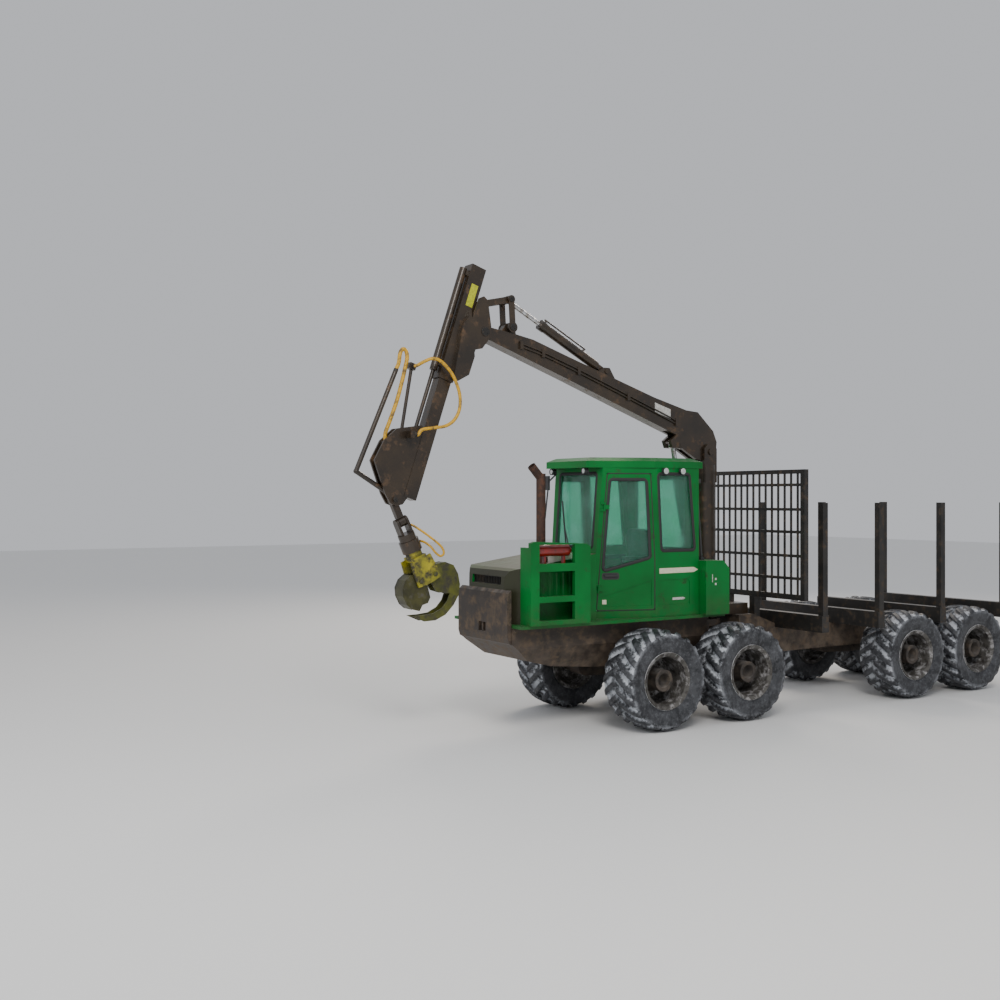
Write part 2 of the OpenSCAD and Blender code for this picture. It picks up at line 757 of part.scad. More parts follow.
// Transverse gate behind the crane
module headboard() {
    x = -2560;
    rails = [[1600, 80], [1890, 40], [2215, 40], [2560, 40], [2885, 40], [3240, 40], [board_top - 60, 60]];
    pitch = (2 * board_half - 80) / (slats + 1);
    color([0.09, 0.08, 0.07]) at_centre() {
        for (r = rails) {
            translate([x - 20, -board_half, r[0]]) cube([40, 2 * board_half, r[1]]);
        }
        for (y = [-board_half, board_half - 80]) {
            translate([x - 40, y, 1600]) cube([80, 80, board_top - 1600]);
        }
        for (i = [1:slats]) {
            translate([x - 12, -board_half + 40 + i * pitch - 12, 1600]) cube([24, 24, board_top - 1600]);
        }
        // Feet cut to the slope of the beams
        both_sides() slab(220, 330) polygon([[x - 60, beam_line(x - 60) + seat_gap],
            [x + 50, beam_line(x + 50) + seat_gap], [x + 50, 1605], [x - 60, 1605]]);
    }
}

// Bunks with their stakes
module bunks() {
    places = [beam_top[0][0] + 100, -wheelbase + 720, -wheelbase - 700, -wheelbase - bogie_pitch - 780];
    color([0.12, 0.10, 0.09]) at_centre() {
        for (x = places) {
            difference() {
                translate([x - 70, -stake_half, beam_top[0][1] + seat_gap]) cube([140, 2 * stake_half, 240]);
                // The foremost bunk is notched where the beams rise
                slab_pair(beam_half - 111, beam_half + 1) polygon([[beam_top[0][0] - 1, 1100],
                    [beam_top[0][0] - 1, beam_line(beam_top[0][0] - 1) + seat_gap],
                    [-2900, beam_line(-2900) + seat_gap], [-2900, 1100]]);
            }
            both_sides() translate([x - 50, stake_half - 90, 1300]) cube([100, 90, stake_top - 1300]);
        }
    }
}

// Fixed base of the crane on the rear frame
module slew_base() {
    color(boom_brown) at_centre() {
        translate([slew_x, 0, 1500]) cylinder(h = boom_foot_z - 1500 - seat_gap, r = 240);
        slab(-200, 200) polygon([[-1600, 1500], [-1700, 1345], [-2500, 1340 + seat_gap], [-2500, 1500]]);
    }
}

// Turning pillar with the lift cylinder's foot and the boom pin
module pillar() {
    color(boom_brown) at_centre() difference() {
        union() {
            translate([slew_x, 0, boom_foot_z]) cylinder(h = 3560 - boom_foot_z, r = pillar_r);
            translate([slew_x, 0, boom_foot_z]) cylinder(h = 70, r = 250);
            slab_pair(boom_half + move_gap, boom_half + move_gap + 40) polygon([[slew_x - 120, 3300],
                [slew_x - 120, 3800], [slew_x - 60, 3860], [slew_x + 60, 3860], [slew_x + 120, 3800],
                [slew_x + 120, 3300]]);
            translate([slew_x - 120, -boom_half - 46, 3300]) cube([240, 2 * boom_half + 92, 200]);
            slab_pair(rod_lane + move_gap, rod_lane + move_gap + 40) polygon([[slew_x + 100, 2180],
                [slew_x + 100, 2560], [-1620, 2480], [-1500, 2420], [-1435, 2350], [-1500, 2280]]);
        }
        bar_y(lift_low, 35 + pin_fit, -200, 200);
        bar_y(lift_pin, pin_r + pin_fit, -300, 300);
    }
}

// Lift boom: side outline, forks and lugs
pipe_line = [[-1180, 4190], [-300, 4520], [560, 4835], [1150, 5035], [1500, 5125]];
pipe_r = 10;
pipe_y = boom_half + 16;
module lift_boom() {
    side = [[-1700, 3620], [-1570, 3640], [-1290, 3800], [-1210, 3980], [790, 4710], [2000, 5140], [2120, 5160], [2170, 5260],
        [2080, 5320], [1560, 5240], [1300, 5190], [790, 5020], [-784, 4510], [-1380, 4350], [-1600, 4330],
        [-1900, 4060], [-1970, 3900], [-1950, 3700], [-1850, 3630]];
    color(boom_brown) at_centre() {
        difference() {
            union() {
                difference() {
                    slab(-boom_half, boom_half) polygon(side);
                    slab(-rod_lane - move_gap, rod_lane + move_gap) polygon([[-1720, 3560], [-1720, 3740],
                        [-1420, 3960], [-1040, 4060], [-1040, 3560]]);
                }
                slab_pair(rod_lane + move_gap, boom_half) polygon([[-1290, 3780], [-1260, 3790], [-1120, 3800],
                    [-1080, 3900], [-1210, 4000]]);
                slab(-50, 50) polygon([[1540, 5230], [1570, 5360], [1640, 5400], [1710, 5360], [1780, 5260]]);
                slab_pair(rod_lane + move_gap, rod_lane + move_gap + 30) polygon([[-120, 4700], [0, 4890],
                    [100, 4890], [240, 4810]]);
            }
            bar_y(dipper_pin, pin_r + pin_fit, -300, 300);
            bar_y(lever_pin, 35 + pin_fit, -300, 300);
            bar_y(jib_low, 35 + pin_fit, -300, 300);
        }
        bar_y(lift_pin, pin_r, -boom_half - move_gap - 60, boom_half + move_gap + 60);
        // Pipes clamped along both sides
        both_sides() for (drop = [0, 44]) {
            for (k = [0:len(pipe_line) - 2]) {
                p = pipe_line[k] - [0, drop];
                q = pipe_line[k + 1] - [0, drop];
                step = 6 * unit(q - p);
                bar([p[0] + step[0], pipe_y, p[1] + step[1]], [q[0] - step[0], pipe_y, q[1] - step[1]], pipe_r);
            }
        }
        both_sides() for (p = pipe_line) {
            translate([p[0] - 24, boom_half - 1, p[1] - 74]) cube([48, pipe_y + pipe_r + 5 - boom_half, 104]);
        }
    }
}

// Cylinder barrel from p towards q, with the eye at p and its pin
module barrel(p, q, r, long, eye_r, rod_r) {
    v = q - p;
    a = atan2(v[1], v[0]);
    neck = 160;
    difference() {
        union() {
            bar_y(p, eye_r, -rod_lane, rod_lane);
            translate([p[0], 0, p[1]]) rotate([0, 90 - a, 0]) {
                translate([-eye_r * 0.7, 3 - rod_lane, 0]) cube([eye_r * 1.4, 2 * rod_lane - 6, neck + 10]);
                translate([0, 0, neck]) cylinder(h = long - neck, r = r);
                translate([0, 0, long - 90]) cylinder(h = 90, r = r + 8);
            }
        }
        translate([p[0], 0, p[1]]) rotate([0, 90 - a, 0]) translate([0, 0, neck + 30])
            cylinder(h = long, r = rod_r + seat_gap);
    }
    bar_y(p, 35, -rod_lane - 50, rod_lane + 50);
}

// Cylinder rod that ends in an eye at q, reaching back to p
module piston_rod(p, q, r, back, eye_r) {
    v = q - p;
    l = norm(v);
    a = atan2(v[1], v[0]);
    bar_y(q, eye_r, -rod_lane, rod_lane);
    translate([p[0], 0, p[1]]) rotate([0, 90 - a, 0]) translate([0, 0, back]) cylinder(h = l - back - eye_r * 0.5, r = r);
}

module lift_barrel() {
    color(boom_brown) at_centre() barrel(lift_low, lift_high, 75, 1150, 65, lift_rod_r);
}

module lift_rod() {
    color(steel_bright) at_centre() piston_rod(lift_low, lift_high, lift_rod_r, 600, 65);
}

module jib_barrel() {
    v = lever_top - jib_low;
    color(boom_brown) at_centre() {
        barrel(jib_low, lever_top, 65, 1230, 50, 32);
        // Pipe along the upper side of the barrel
        translate([jib_low[0], 0, jib_low[1]]) rotate([0, 90 - atan2(v[1], v[0]), 0]) {
            translate([-104, 0, 420]) cylinder(h = 765, r = 11);
            for (z = [440, 1160]) {
                translate([-106, 0, z]) rotate([0, 90, 0]) cylinder(h = 60, r = 15);
            }
        }
    }
}

module jib_rod() {
    color(steel_bright) at_centre() piston_rod(jib_low, lever_top, 32, 760, 55);
}

// Lever between the lift boom and the link
module lever() {
    color(boom_brown) at_centre() {
        both_sides() {
            strap(lever_pin, lever_top, 70, 52, lever_lane[0], lever_lane[1]);
            bar_y(lever_top, 30, link_lane[0], lever_lane[0] + 1);
        }
        bar_y(lever_pin, 35, -lever_lane[0] - 1, lever_lane[0] + 1);
    }
}

module link() {
    mid = (lever_top + dipper_top) / 2;
    color(boom_brown) at_centre() {
        difference() {
            both_sides() strap(lever_top, dipper_top, 52, 52, link_lane[0], link_lane[1]);
            bar_y(lever_top, 30 + pin_fit, -120, 120);
            bar_y(dipper_top, 31, -120, 120);
        }
        bar_y(mid, 30, -link_lane[0] - 5, link_lane[0] + 5);
    }
}

// Frame of the outer boom: z runs up along it from the dipper pin's level on its rear face
dipper_edge = [2040 + (6040 - dipper_pin[1]) * tan(dipper_lean), dipper_pin[1]];
module dipper_axis() {
    translate([dipper_edge[0], 0, dipper_edge[1]]) rotate([0, -dipper_lean, 0]) children();
}
// Hose guides on the telescope
post_head = [3085, 4735];
post_foot = [3235, 3880];
strand_foot = [3470, 3760];
post_r = 22;
hose_r = 26;
loop_r = 22;
loop_y = 196;
loop_foot = [3150, 3820];
sleeve_up = 860;
sleeve_down = -720;
tele_d = sleeve_d - 2 * sleeve_wall - 2 * slide_gap;
tele_half = sleeve_half - sleeve_wall - slide_gap;
tele_end = -2320;
tele_top = 830;
tele_wall = 12;

// Outer boom: box sleeve, side brackets and the telescope cylinder along its front
module dipper() {
    bracket = [[2180, 5660], [2110, 5690], [2050, 5640], [2000, 5300], [2003, 5174], [2137, 5010], [2239, 4988],
        [2294, 4847], [2337, 4657], [2500, 4570], [2560, 4620], [2330, 5300]];
    color(boom_brown) at_centre() {
        dipper_axis() difference() {
            translate([0, -sleeve_half, sleeve_down]) cube([sleeve_d, 2 * sleeve_half, sleeve_up - sleeve_down]);
            translate([sleeve_wall, -sleeve_half + sleeve_wall, sleeve_down - 1])
                cube([sleeve_d - 2 * sleeve_wall, 2 * (sleeve_half - sleeve_wall), sleeve_up - sleeve_down - 20]);
        }
        both_sides() slab(sleeve_half - 1, dipper_lane[1]) difference() {
            polygon([[2330, 5420], [2300, 5500], [2250, 4900], [2337, 4657], [2500, 4570], [2560, 4620], [2420, 5300]]);
        }
        both_sides() slab(dipper_lane[0], dipper_lane[1]) polygon(bracket);
        bar_y(dipper_pin, pin_r, -dipper_lane[0] - 1, dipper_lane[0] + 1);
        both_sides() bar_y(dipper_top, 30, link_lane[0], dipper_lane[0] + 1);
        dipper_axis() {
            difference() {
                translate([sleeve_d + 60, 0, -640]) cylinder(h = 1420, r = 50);
                translate([sleeve_d + 60, 0, -641]) cylinder(h = 1380, r = 25 + seat_gap);
            }
            for (z = [-560, 700]) {
                translate([sleeve_d - 1, -40, z]) cube([30, 80, 60]);
            }
        }
    }
}

// Telescope with its rod and the end bracket
module extension() {
    x0 = sleeve_wall + slide_gap;
    color(boom_brown) at_centre() difference() {
        union() {
            dipper_axis() {
                difference() {
                    translate([x0, -tele_half, tele_end]) cube([tele_d, 2 * tele_half, tele_top - tele_end]);
                    translate([x0 + tele_wall, tele_wall - tele_half, tele_end + 500])
                        cube([tele_d - 2 * tele_wall, 2 * (tele_half - tele_wall), tele_top - tele_end]);
                }
                translate([sleeve_d + 60, 0, -2000]) cylinder(h = 2735, r = 25);
                translate([x0 + tele_d - 1, -60, -2000]) cube([sleeve_d + 90 - x0 - tele_d, 120, 90]);
            }
            slab_pair(tip_lane[0], tip_lane[1]) polygon([[3080, 3200], [3250, 2990], [3340, 2970], [3420, 3000],
                [3490, 3120], [3640, 3540], [3505, 3790], [3330, 3940], [2985, 3990], [2941, 3950], [3092, 3500]]);
            // Post that carries the hose clamp, and the cross bars between the bracket plates
            bar([post_foot[0], 0, post_foot[1]], [post_head[0], 0, post_head[1]], post_r);
            for (p = [post_foot, strand_foot]) {
                bar_y(p, post_r + 6, -tip_lane[0] - 2, tip_lane[0] + 2);
            }
            translate([post_head[0], 0, post_head[1]]) rotate([0, -dipper_lean, 0])
                translate([-45, -tip_lane[0], -40]) cube([90, 2 * tip_lane[0], 80]);
            slab(tip_lane[1] - 2, loop_y + loop_r + 10) polygon([loop_foot, loop_foot + [60, 0],
                loop_foot + [60, 90], loop_foot + [0, 90]]);
            // Bent tube that guards the hoses
            bar(guard_head, guard_knee, guard_r);
            translate(guard_knee) sphere(r = knee_r);
            bar(guard_knee, guard_foot, guard_r);
            bar_y([guard_foot[0], guard_foot[2]], 34, -tip_lane[0] - 2, tip_lane[0] + 2);
        }
        bar_y(tip_pin, 30 + pin_fit, -200, 200);
    }
}

// Hose that arches from the guard tube over the post to the bracket, and the loop beside the sleeve
module hoses() {
    up = unit(guard_head - guard_knee);
    start = guard_head + seat_gap * up;
    foot = [strand_foot[0] - 12, 0, strand_foot[1] + post_r + 6 + seat_gap];
    clamp = [post_head[0] - 10, tip_lane[0] + seat_gap, post_head[1]];
    loop_end = [loop_foot[0] - seat_gap, loop_y, loop_foot[1] + 45];
    color(hose_yellow) at_centre() {
        hose([start, start + 65 * up, start + 130 * up, [3243, 0, 4905], [3200, 0, 4950], [3158, 0, 4915],
            [3150, 0, 4830], [3178, 0, 4710], [3215, 0, 4560], [3295, 0, 4290], [3395, 0, 4030], foot + [-12, 0, 120], foot + [0, 0, 60],
            foot + [0, 0, 30], foot], hose_r);
        hose([clamp, clamp + [0, 14, 0], clamp + [0, 28, 0], [post_head[0] - 35, 100, post_head[1] + 10],
            [2985, 155, 4790], [2880, loop_y, 4830], [2750, loop_y, 4790], [2600, loop_y, 4640], [2500, loop_y, 4420],
            [2495, loop_y, 4220], [2570, loop_y, 4070], [2700, loop_y, 3985], [2880, loop_y, 3955],
            [3040, loop_y, 3925], loop_end - [60, 0, 0], loop_end - [30, 0, 0], loop_end], loop_r);
    }
}

// Frame of the hanging grapple: z runs up along it from the tip pin
module hang() {
    translate([tip_pin[0], 0, tip_pin[1]]) rotate([0, hang_lean, 0]) children();
}

module tip_link() {
    color(boom_brown) at_centre() {
        bar_y(tip_pin, 60, -rod_lane, rod_lane);
        bar_y(tip_pin, 30, -rod_lane - 60, rod_lane + 60);
        hang() difference() {
            union() {
                translate([-45, -rod_lane, -cross_drop + 60]) cube([90, 2 * rod_lane, cross_drop - 100]);
                translate([0, 0, -cross_drop]) rotate([0, 90, 0]) translate([0, 0, -45]) cylinder(h = 90, r = 62);
            }
            translate([0, 0, -cross_drop]) rotate([0, 90, 0]) translate([0, 0, -80]) cylinder(h = 160, r = 30 + pin_fit);
        }
    }
}

// Hose from the yoke round to the rotator's housing
module tip_hose() {
    color(hose_yellow) at_centre() hang()
        hose([[-85 - seat_gap, 0, -400], [-95, 0, -400], [-105, 0, -400], [-128, 8, -412], [-190, 70, -520],
            [-280, 140, -700], [-330, 152, -820], [-318, 154, -895], [-262, 154, -900], [-218, 150, -830],
            [-195, 130, -735], [-170, 60, -665], [-153, 6, -645], [-146, 0, -640], [-138, 0, -640],
            [-130 - seat_gap, 0, -640]], 15);
}

module tip_yoke() {
    color(boom_brown) at_centre() hang() {
        for (x = [-85, 51]) {
            translate([x, -60, -rotator_drop + 60]) cube([34, 120, rotator_drop - cross_drop - 60]);
            translate([x, 0, -cross_drop]) rotate([0, 90, 0]) cylinder(h = 34, r = 60);
        }
        translate([0, 0, -cross_drop]) rotate([0, 90, 0]) translate([0, 0, -84]) cylinder(h = 168, r = 30);
        translate([0, 0, -rotator_drop]) cylinder(h = 90, r = 110);
        translate([0, 0, -rotator_drop - 150]) cylinder(h = 151, r = 130);
    }
}

// Turned part of the rotator and the grapple body that holds the claw pins
module grapple_frame() {
    top = -rotator_drop - 230;
    plate = [[-150, top - 20], [150, top - 20], [175, -claw_drop + 60], [172, -claw_drop - 60],
        [60, -claw_drop - 75], [-60, -claw_drop - 75], [-172, -claw_drop - 60], [-175, -claw_drop + 60]];
    color(grapple_yellow) at_centre() hang() difference() {
        union() {
            translate([0, 0, top]) cylinder(h = 80 - seat_gap, r = 105);
            translate([-88, -frame_lane[1], top - 50]) cube([176, 2 * frame_lane[1], 60]);
            slab_pair(frame_lane[0], frame_lane[1]) polygon(plate);
        }
        for (s = [-1, 1]) {
            bar_y([s * claw_half, -claw_drop], 30 + pin_fit, -200, 200);
        }
    }
}

// Outlines of the two claws in the grapple's frame, as [x, z]
rear_plate = [[-60, -1010], [-200, -985], [-330, -1020], [-425, -1110], [-440, -1240], [-410, -1380],
    [-330, -1500], [-215, -1580], [-60, -1640], [100, -1640], [250, -1580], [380, -1440], [230, -1500],
    [90, -1545], [-50, -1540], [-160, -1490], [-230, -1420], [-150, -1380], [-60, -1300], [-40, -1180], [-40, -1040]];
front_plate = [[60, -1010], [190, -955], [290, -980], [370, -1050], [405, -1150], [400, -1270], [360, -1350],
    [270, -1420], [200, -1370], [120, -1380], [60, -1330], [40, -1200], [40, -1040]];
// Back shells that join each claw's side plates
rear_shell = [[-200, -987], [-330, -1022], [-423, -1110], [-438, -1240], [-408, -1378], [-329, -1498],
    [-215, -1578], [-60, -1638], [100, -1638], [90, -1622], [-58, -1622], [-208, -1564], [-317, -1487],
    [-393, -1373], [-423, -1241], [-409, -1116], [-322, -1036], [-200, -1003]];
front_shell = [[190, -957], [290, -982], [369, -1051], [403, -1150], [398, -1270], [359, -1348], [346, -1338],
    [383, -1266], [388, -1154], [356, -1060], [283, -997], [190, -973]];

module claw(plate, shell, pin_x, lane) {
    color(claw_grey) at_centre() hang() {
        slab_pair(lane[0], lane[1]) polygon(plate);
        slab(-lane[0] - 1, lane[0] + 1) polygon(shell);
        bar_y([pin_x, -claw_drop], 52, -lane[1] - 2, lane[1] + 2);
        bar_y([pin_x, -claw_drop], 30, -frame_lane[1] - 12, frame_lane[1] + 12);
    }
}

// Steering cylinders, on pins of the front lugs
module steer_barrel(side) {
    color(steel_dark) at_centre() translate([steer_front[0], side * steer_front[1], steer_z]) {
        difference() {
            union() {
                translate([0, 0, -20]) cylinder(h = 40, r = 55);
                translate([-80, -30, -19]) cube([50, 60, 38]);
                translate([-68, 0, 0]) rotate([0, -90, 0]) cylinder(h = 387, r = 42);
            }
            translate([-88, 0, 0]) rotate([0, -90, 0]) cylinder(h = 480, r = 22 + seat_gap);
        }
        cylinder(h = 110, r = 25);
    }
}

module steer_rod(side) {
    color(steel_bright) at_centre() translate([steer_rear[0], side * steer_rear[1], steer_z]) {
        translate([0, 0, -25]) cylinder(h = 50, r = 45);
        rotate([0, 90, 0]) cylinder(h = 480, r = 22);
    }
}

front_frame();
bumper();
hood();
grille();
engine();
side_guards();
exhaust();
extinguisher();
bogies(0);  // front_bogies
deck();
cab_shell();
cab_roof();
cab_glass();
seat();
rear_boxes();
door();
door_glass();
rear_frame();
bogies(2);  // rear_bogies
headboard();
bunks();
slew_base();
pillar();
lift_boom();
lift_barrel();
lift_rod();
jib_barrel();
jib_rod();
lever();
link();
dipper();
extension();
tip_link();
tip_yoke();
hoses();
tip_hose();
cab_fittings();
grapple_frame();
claw(rear_plate, rear_shell, -claw_half, rear_lane);  // claw_rear
claw(front_plate, front_shell, claw_half, front_lane);  // claw_front
steer_barrel(1);  // steer_barrel_left
steer_rod(1);  // steer_rod_left
steer_barrel(-1);  // steer_barrel_right
steer_rod(-1);  // steer_rod_right
tyre(0, 1);  // tyre_a_left
tyre(1, 1);  // tyre_b_left
tyre(2, 1);  // tyre_c_left
tyre(3, 1);  // tyre_d_left
tyre(0, -1);  // tyre_a_right
tyre(1, -1);  // tyre_b_right
tyre(2, -1);  // tyre_c_right
tyre(3, -1);  // tyre_d_right
rim(0, 1);  // rim_a_left
rim(1, 1);  // rim_b_left
rim(2, 1);  // rim_c_left
rim(3, 1);  // rim_d_left
rim(0, -1);  // rim_a_right
rim(1, -1);  // rim_b_right
rim(2, -1);  // rim_c_right
rim(3, -1);  // rim_d_right
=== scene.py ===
# Forestry forwarder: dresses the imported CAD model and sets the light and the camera.
# Metres throughout, x forward, y to the left, z up, origin on the ground under the middle.
import math

import bmesh
import bpy
import numpy as np
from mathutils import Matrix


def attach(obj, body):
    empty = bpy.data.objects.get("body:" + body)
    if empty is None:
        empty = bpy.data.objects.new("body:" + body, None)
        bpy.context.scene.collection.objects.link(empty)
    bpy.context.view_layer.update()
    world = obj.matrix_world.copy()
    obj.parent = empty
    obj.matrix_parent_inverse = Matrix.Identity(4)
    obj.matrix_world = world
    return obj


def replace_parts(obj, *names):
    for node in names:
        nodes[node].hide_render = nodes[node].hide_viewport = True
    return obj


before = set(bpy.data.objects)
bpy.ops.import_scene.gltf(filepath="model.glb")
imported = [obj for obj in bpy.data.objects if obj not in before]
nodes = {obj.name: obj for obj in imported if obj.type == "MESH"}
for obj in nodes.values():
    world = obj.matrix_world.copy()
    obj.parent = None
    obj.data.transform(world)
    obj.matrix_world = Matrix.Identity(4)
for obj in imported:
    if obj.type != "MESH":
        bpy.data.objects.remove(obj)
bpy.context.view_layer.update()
print("stage: frame loaded,", len(nodes), "nodes")

axleX = 1.78  # foremost axle, ahead of the origin
axles = [0.0, -1.5, -4.92, -6.42]  # each axle's place behind the foremost one
tyreR = 0.667
wheelY = 1.05
axisR = 0.0005  # closed turned profiles start and end this far from their axis
hairGap = 0.0002  # trim stands this far off its seat
bothSides = ((1, "left"), (-1, "right"))
upwards = np.array([0.0, 0.0, 1.0])


# Mesh helpers

def addMesh(name, verts, faces, body, slot, material, smooth=True):
    # Puts arrays of points and faces into a new object that rides on a body.
    mesh = bpy.data.meshes.new(name)
    mesh.from_pydata(np.asarray(verts, float).reshape(-1, 3).tolist(), [], [list(map(int, f)) for f in faces])
    mesh.polygons.foreach_set("use_smooth", np.full(len(mesh.polygons), smooth))
    mesh.update()
    piece = bpy.data.objects.new(name, mesh)
    bpy.context.scene.collection.objects.link(piece)
    mesh.materials.append(material)
    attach(piece, body)
    return piece


def gridFaces(nu, nv, closeU=False, closeV=False):
    # Quads between neighbours of a nu by nv grid, wrapped round where a direction is closed.
    rows, columns = np.arange(nu if closeU else nu - 1), np.arange(nv if closeV else nv - 1)
    iu, iv = np.meshgrid(rows, columns, indexing="ij")
    ju, jv = (iu + 1) % nu, (iv + 1) % nv
    return np.stack([iu * nv + iv, ju * nv + iv, ju * nv + jv, iu * nv + jv], -1).reshape(-1, 4)


def endCaps(rings, sides):
    # One face over the first ring and one over the last.
    return [list(range(sides))[::-1], list(range((rings - 1) * sides, rings * sides))]


def joinParts(parts):
    # Several (verts, faces) pairs as one pair, with the faces' numbers moved on.
    verts, faces, base = [], [], 0
    for v, f in parts:
        v = np.asarray(v, float).reshape(-1, 3)
        verts.append(v)
        faces += [[int(i) + base for i in face] for face in f]
        base += len(v)
    return np.vstack(verts), faces


def unit(v):
    return v / np.maximum(np.linalg.norm(v, axis=-1, keepdims=True), 1e-9)


def spline(points, count):
    # Points on a Catmull-Rom curve through the given ones, evenly spaced in its parameter.
    p = np.asarray(points, float)
    p = np.vstack([2 * p[0] - p[1], p, 2 * p[-1] - p[-2]])
    t = np.linspace(0, len(p) - 3 - 1e-6, count)
    k = t.astype(int)
    f = (t - k)[:, None]
    a, b, c, d = p[k], p[k + 1], p[k + 2], p[k + 3]
    square, cube = 2 * a - 5 * b + 4 * c - d, 3 * b - a - 3 * c + d
    return 0.5 * (2 * b + (c - a) * f + square * f ** 2 + cube * f ** 3)


def tube(path, radius, sides, up):
    # A round section carried along a path: centre + r (cos a * side + sin a * rise), closed at both ends.
    path = np.asarray(path, float)
    along = unit(np.gradient(path, axis=0))
    side = unit(np.cross(along, np.broadcast_to(np.asarray(up, float), along.shape)))
    rise = np.cross(side, along)
    a = np.linspace(0, 2 * np.pi, sides, endpoint=False)[None, :, None]
    verts = path[:, None] + radius * (np.cos(a) * side[:, None] + np.sin(a) * rise[:, None])
    faces = gridFaces(len(path), sides, closeV=True)[:, ::-1].tolist()
    return verts.reshape(-1, 3), faces + [cap[::-1] for cap in endCaps(len(path), sides)]


def turned(profile, centre, axis, sides):
    # A profile of (distance along the axis, radius) turned about that axis, starting from straight up.
    # A vertical axis has no such start, so its rings shrink to the axis.
    profile = np.asarray(profile, float)
    axis = unit(np.asarray(axis, float))
    e = unit(upwards - axis * np.dot(upwards, axis))
    g = np.cross(axis, e)
    a = np.linspace(0, 2 * np.pi, sides, endpoint=False)
    ring = np.cos(a)[:, None] * e + np.sin(a)[:, None] * g
    verts = (np.asarray(centre, float) + profile[:, 0][None, :, None] * axis
             + profile[:, 1][None, :, None] * ring[:, None])
    return verts.reshape(-1, 3), gridFaces(sides, len(profile), closeU=True).tolist()


def prism(outline, low, high, put):
    # A flat outline of (a, b) pushed from low to high and placed by put(a, b, depth).
    o = np.asarray(outline, float)
    n = len(o)
    verts = np.vstack([put(o[:, 0], o[:, 1], np.full(n, depth)) for depth in (low, high)])
    i = np.arange(n)
    j = (i + 1) % n
    faces = np.stack([i, j, j + n, i + n], -1).tolist()
    return verts, faces + endCaps(2, n)


def rounded(corners, radius, steps):
    # A closed outline with each corner replaced by an arc of the given radius.
    c = np.asarray(corners, float)
    before = unit(np.roll(c, 1, 0) - c)
    after = unit(np.roll(c, -1, 0) - c)
    half = np.arccos(np.clip((before * after).sum(-1), -1, 1)) / 2
    middle = c + unit(before + after) * (radius / np.sin(half))[:, None]
    t = np.linspace(0, 1, steps)[None, :, None]
    a = (c + before * (radius / np.tan(half))[:, None])[:, None] - middle[:, None]
    b = (c + after * (radius / np.tan(half))[:, None])[:, None] - middle[:, None]
    return (middle[:, None] + radius * unit(a * (1 - t) + b * t)).reshape(-1, 2)


def ringAlong(points, normal, section):
    # A closed section of (outward, proud) carried round a closed outline that lies in one plane.
    points = np.asarray(points, float)
    normal = np.asarray(normal, float)
    along = unit(np.roll(points, -1, 0) - np.roll(points, 1, 0))
    side = np.cross(along, normal)
    s = np.asarray(section, float)
    verts = points[:, None] + s[None, :, 0, None] * side[:, None] + s[None, :, 1, None] * normal
    return verts.reshape(-1, 3), gridFaces(len(points), len(s), closeU=True, closeV=True).tolist()


def outward(piece):
    # Turns the faces of a closed piece outwards.
    b = bmesh.new()
    b.from_mesh(piece.data)
    bmesh.ops.remove_doubles(b, verts=b.verts, dist=1e-6)
    bmesh.ops.recalc_face_normals(b, faces=b.faces)
    b.to_mesh(piece.data)
    b.free()
    return piece


def bevelled(piece, width):
    mod = piece.modifiers.new("edge", "BEVEL")
    mod.width = width
    mod.segments = 2
    mod.limit_method = "ANGLE"
    return piece


# Materials

def startMaterial(name):
    mat = bpy.data.materials.new(name)
    mat.use_nodes = True
    tree = mat.node_tree
    return mat, tree, tree.nodes["Principled BSDF"], tree.nodes.new("ShaderNodeTexCoord")


def feed(tree, socket, value):
    # Gives an input a link, a colour or a plain value.
    if isinstance(value, bpy.types.NodeSocket):
        tree.links.new(value, socket)
    else:
        socket.default_value = (*value, 1) if isinstance(value, tuple) else value


def ramped(tree, value, low, high, end="From"):
    # Stretches low to high into 0 to 1, or with end "To" stretches 0 to 1 into low to high.
    ramp = tree.nodes.new("ShaderNodeMapRange")
    ramp.inputs[f"{end} Min"].default_value = low
    ramp.inputs[f"{end} Max"].default_value = high
    tree.links.new(value, ramp.inputs["Value"])
    return ramp.outputs["Result"]


def noiseOf(tree, coord, scale, detail, rough, low, high):
    # Object-space noise squeezed to a 0 to 1 mask between low and high.
    noise = tree.nodes.new("ShaderNodeTexNoise")
    noise.inputs["Scale"].default_value = scale
    noise.inputs["Detail"].default_value = detail
    noise.inputs["Roughness"].default_value = rough
    tree.links.new(coord.outputs["Object"], noise.inputs["Vector"])
    return ramped(tree, noise.outputs["Fac"], low, high)


def waveOf(tree, vector, direction, scale):
    wave = tree.nodes.new("ShaderNodeTexWave")
    wave.bands_direction = direction
    wave.inputs["Scale"].default_value = scale
    tree.links.new(vector, wave.inputs["Vector"])
    return wave.outputs["Fac"]


def mixColour(tree, mask, first, second):
    # Mixes two colours, each a value or a socket, by a mask.
    mix = tree.nodes.new("ShaderNodeMix")
    mix.data_type = "RGBA"
    tree.links.new(mask, mix.inputs[0])
    feed(tree, mix.inputs[6], first)
    feed(tree, mix.inputs[7], second)
    return mix.outputs[2]


def maths(tree, kind, a, b):
    node = tree.nodes.new("ShaderNodeMath")
    node.operation = kind
    node.use_clamp = True
    feed(tree, node.inputs[0], a)
    feed(tree, node.inputs[1], b)
    return node.outputs[0]


def alongAxis(tree, vector, axis, low, high):
    # One axis of a vector, stretched from low to high.
    split = tree.nodes.new("ShaderNodeSeparateXYZ")
    tree.links.new(vector, split.inputs[0])
    return ramped(tree, split.outputs[axis], low, high)


def facing(tree, coord, axis, low, high):
    # Mask of surfaces that face along X, Y or Z on the piece itself.
    return alongAxis(tree, coord.outputs["Normal"], axis, low, high)


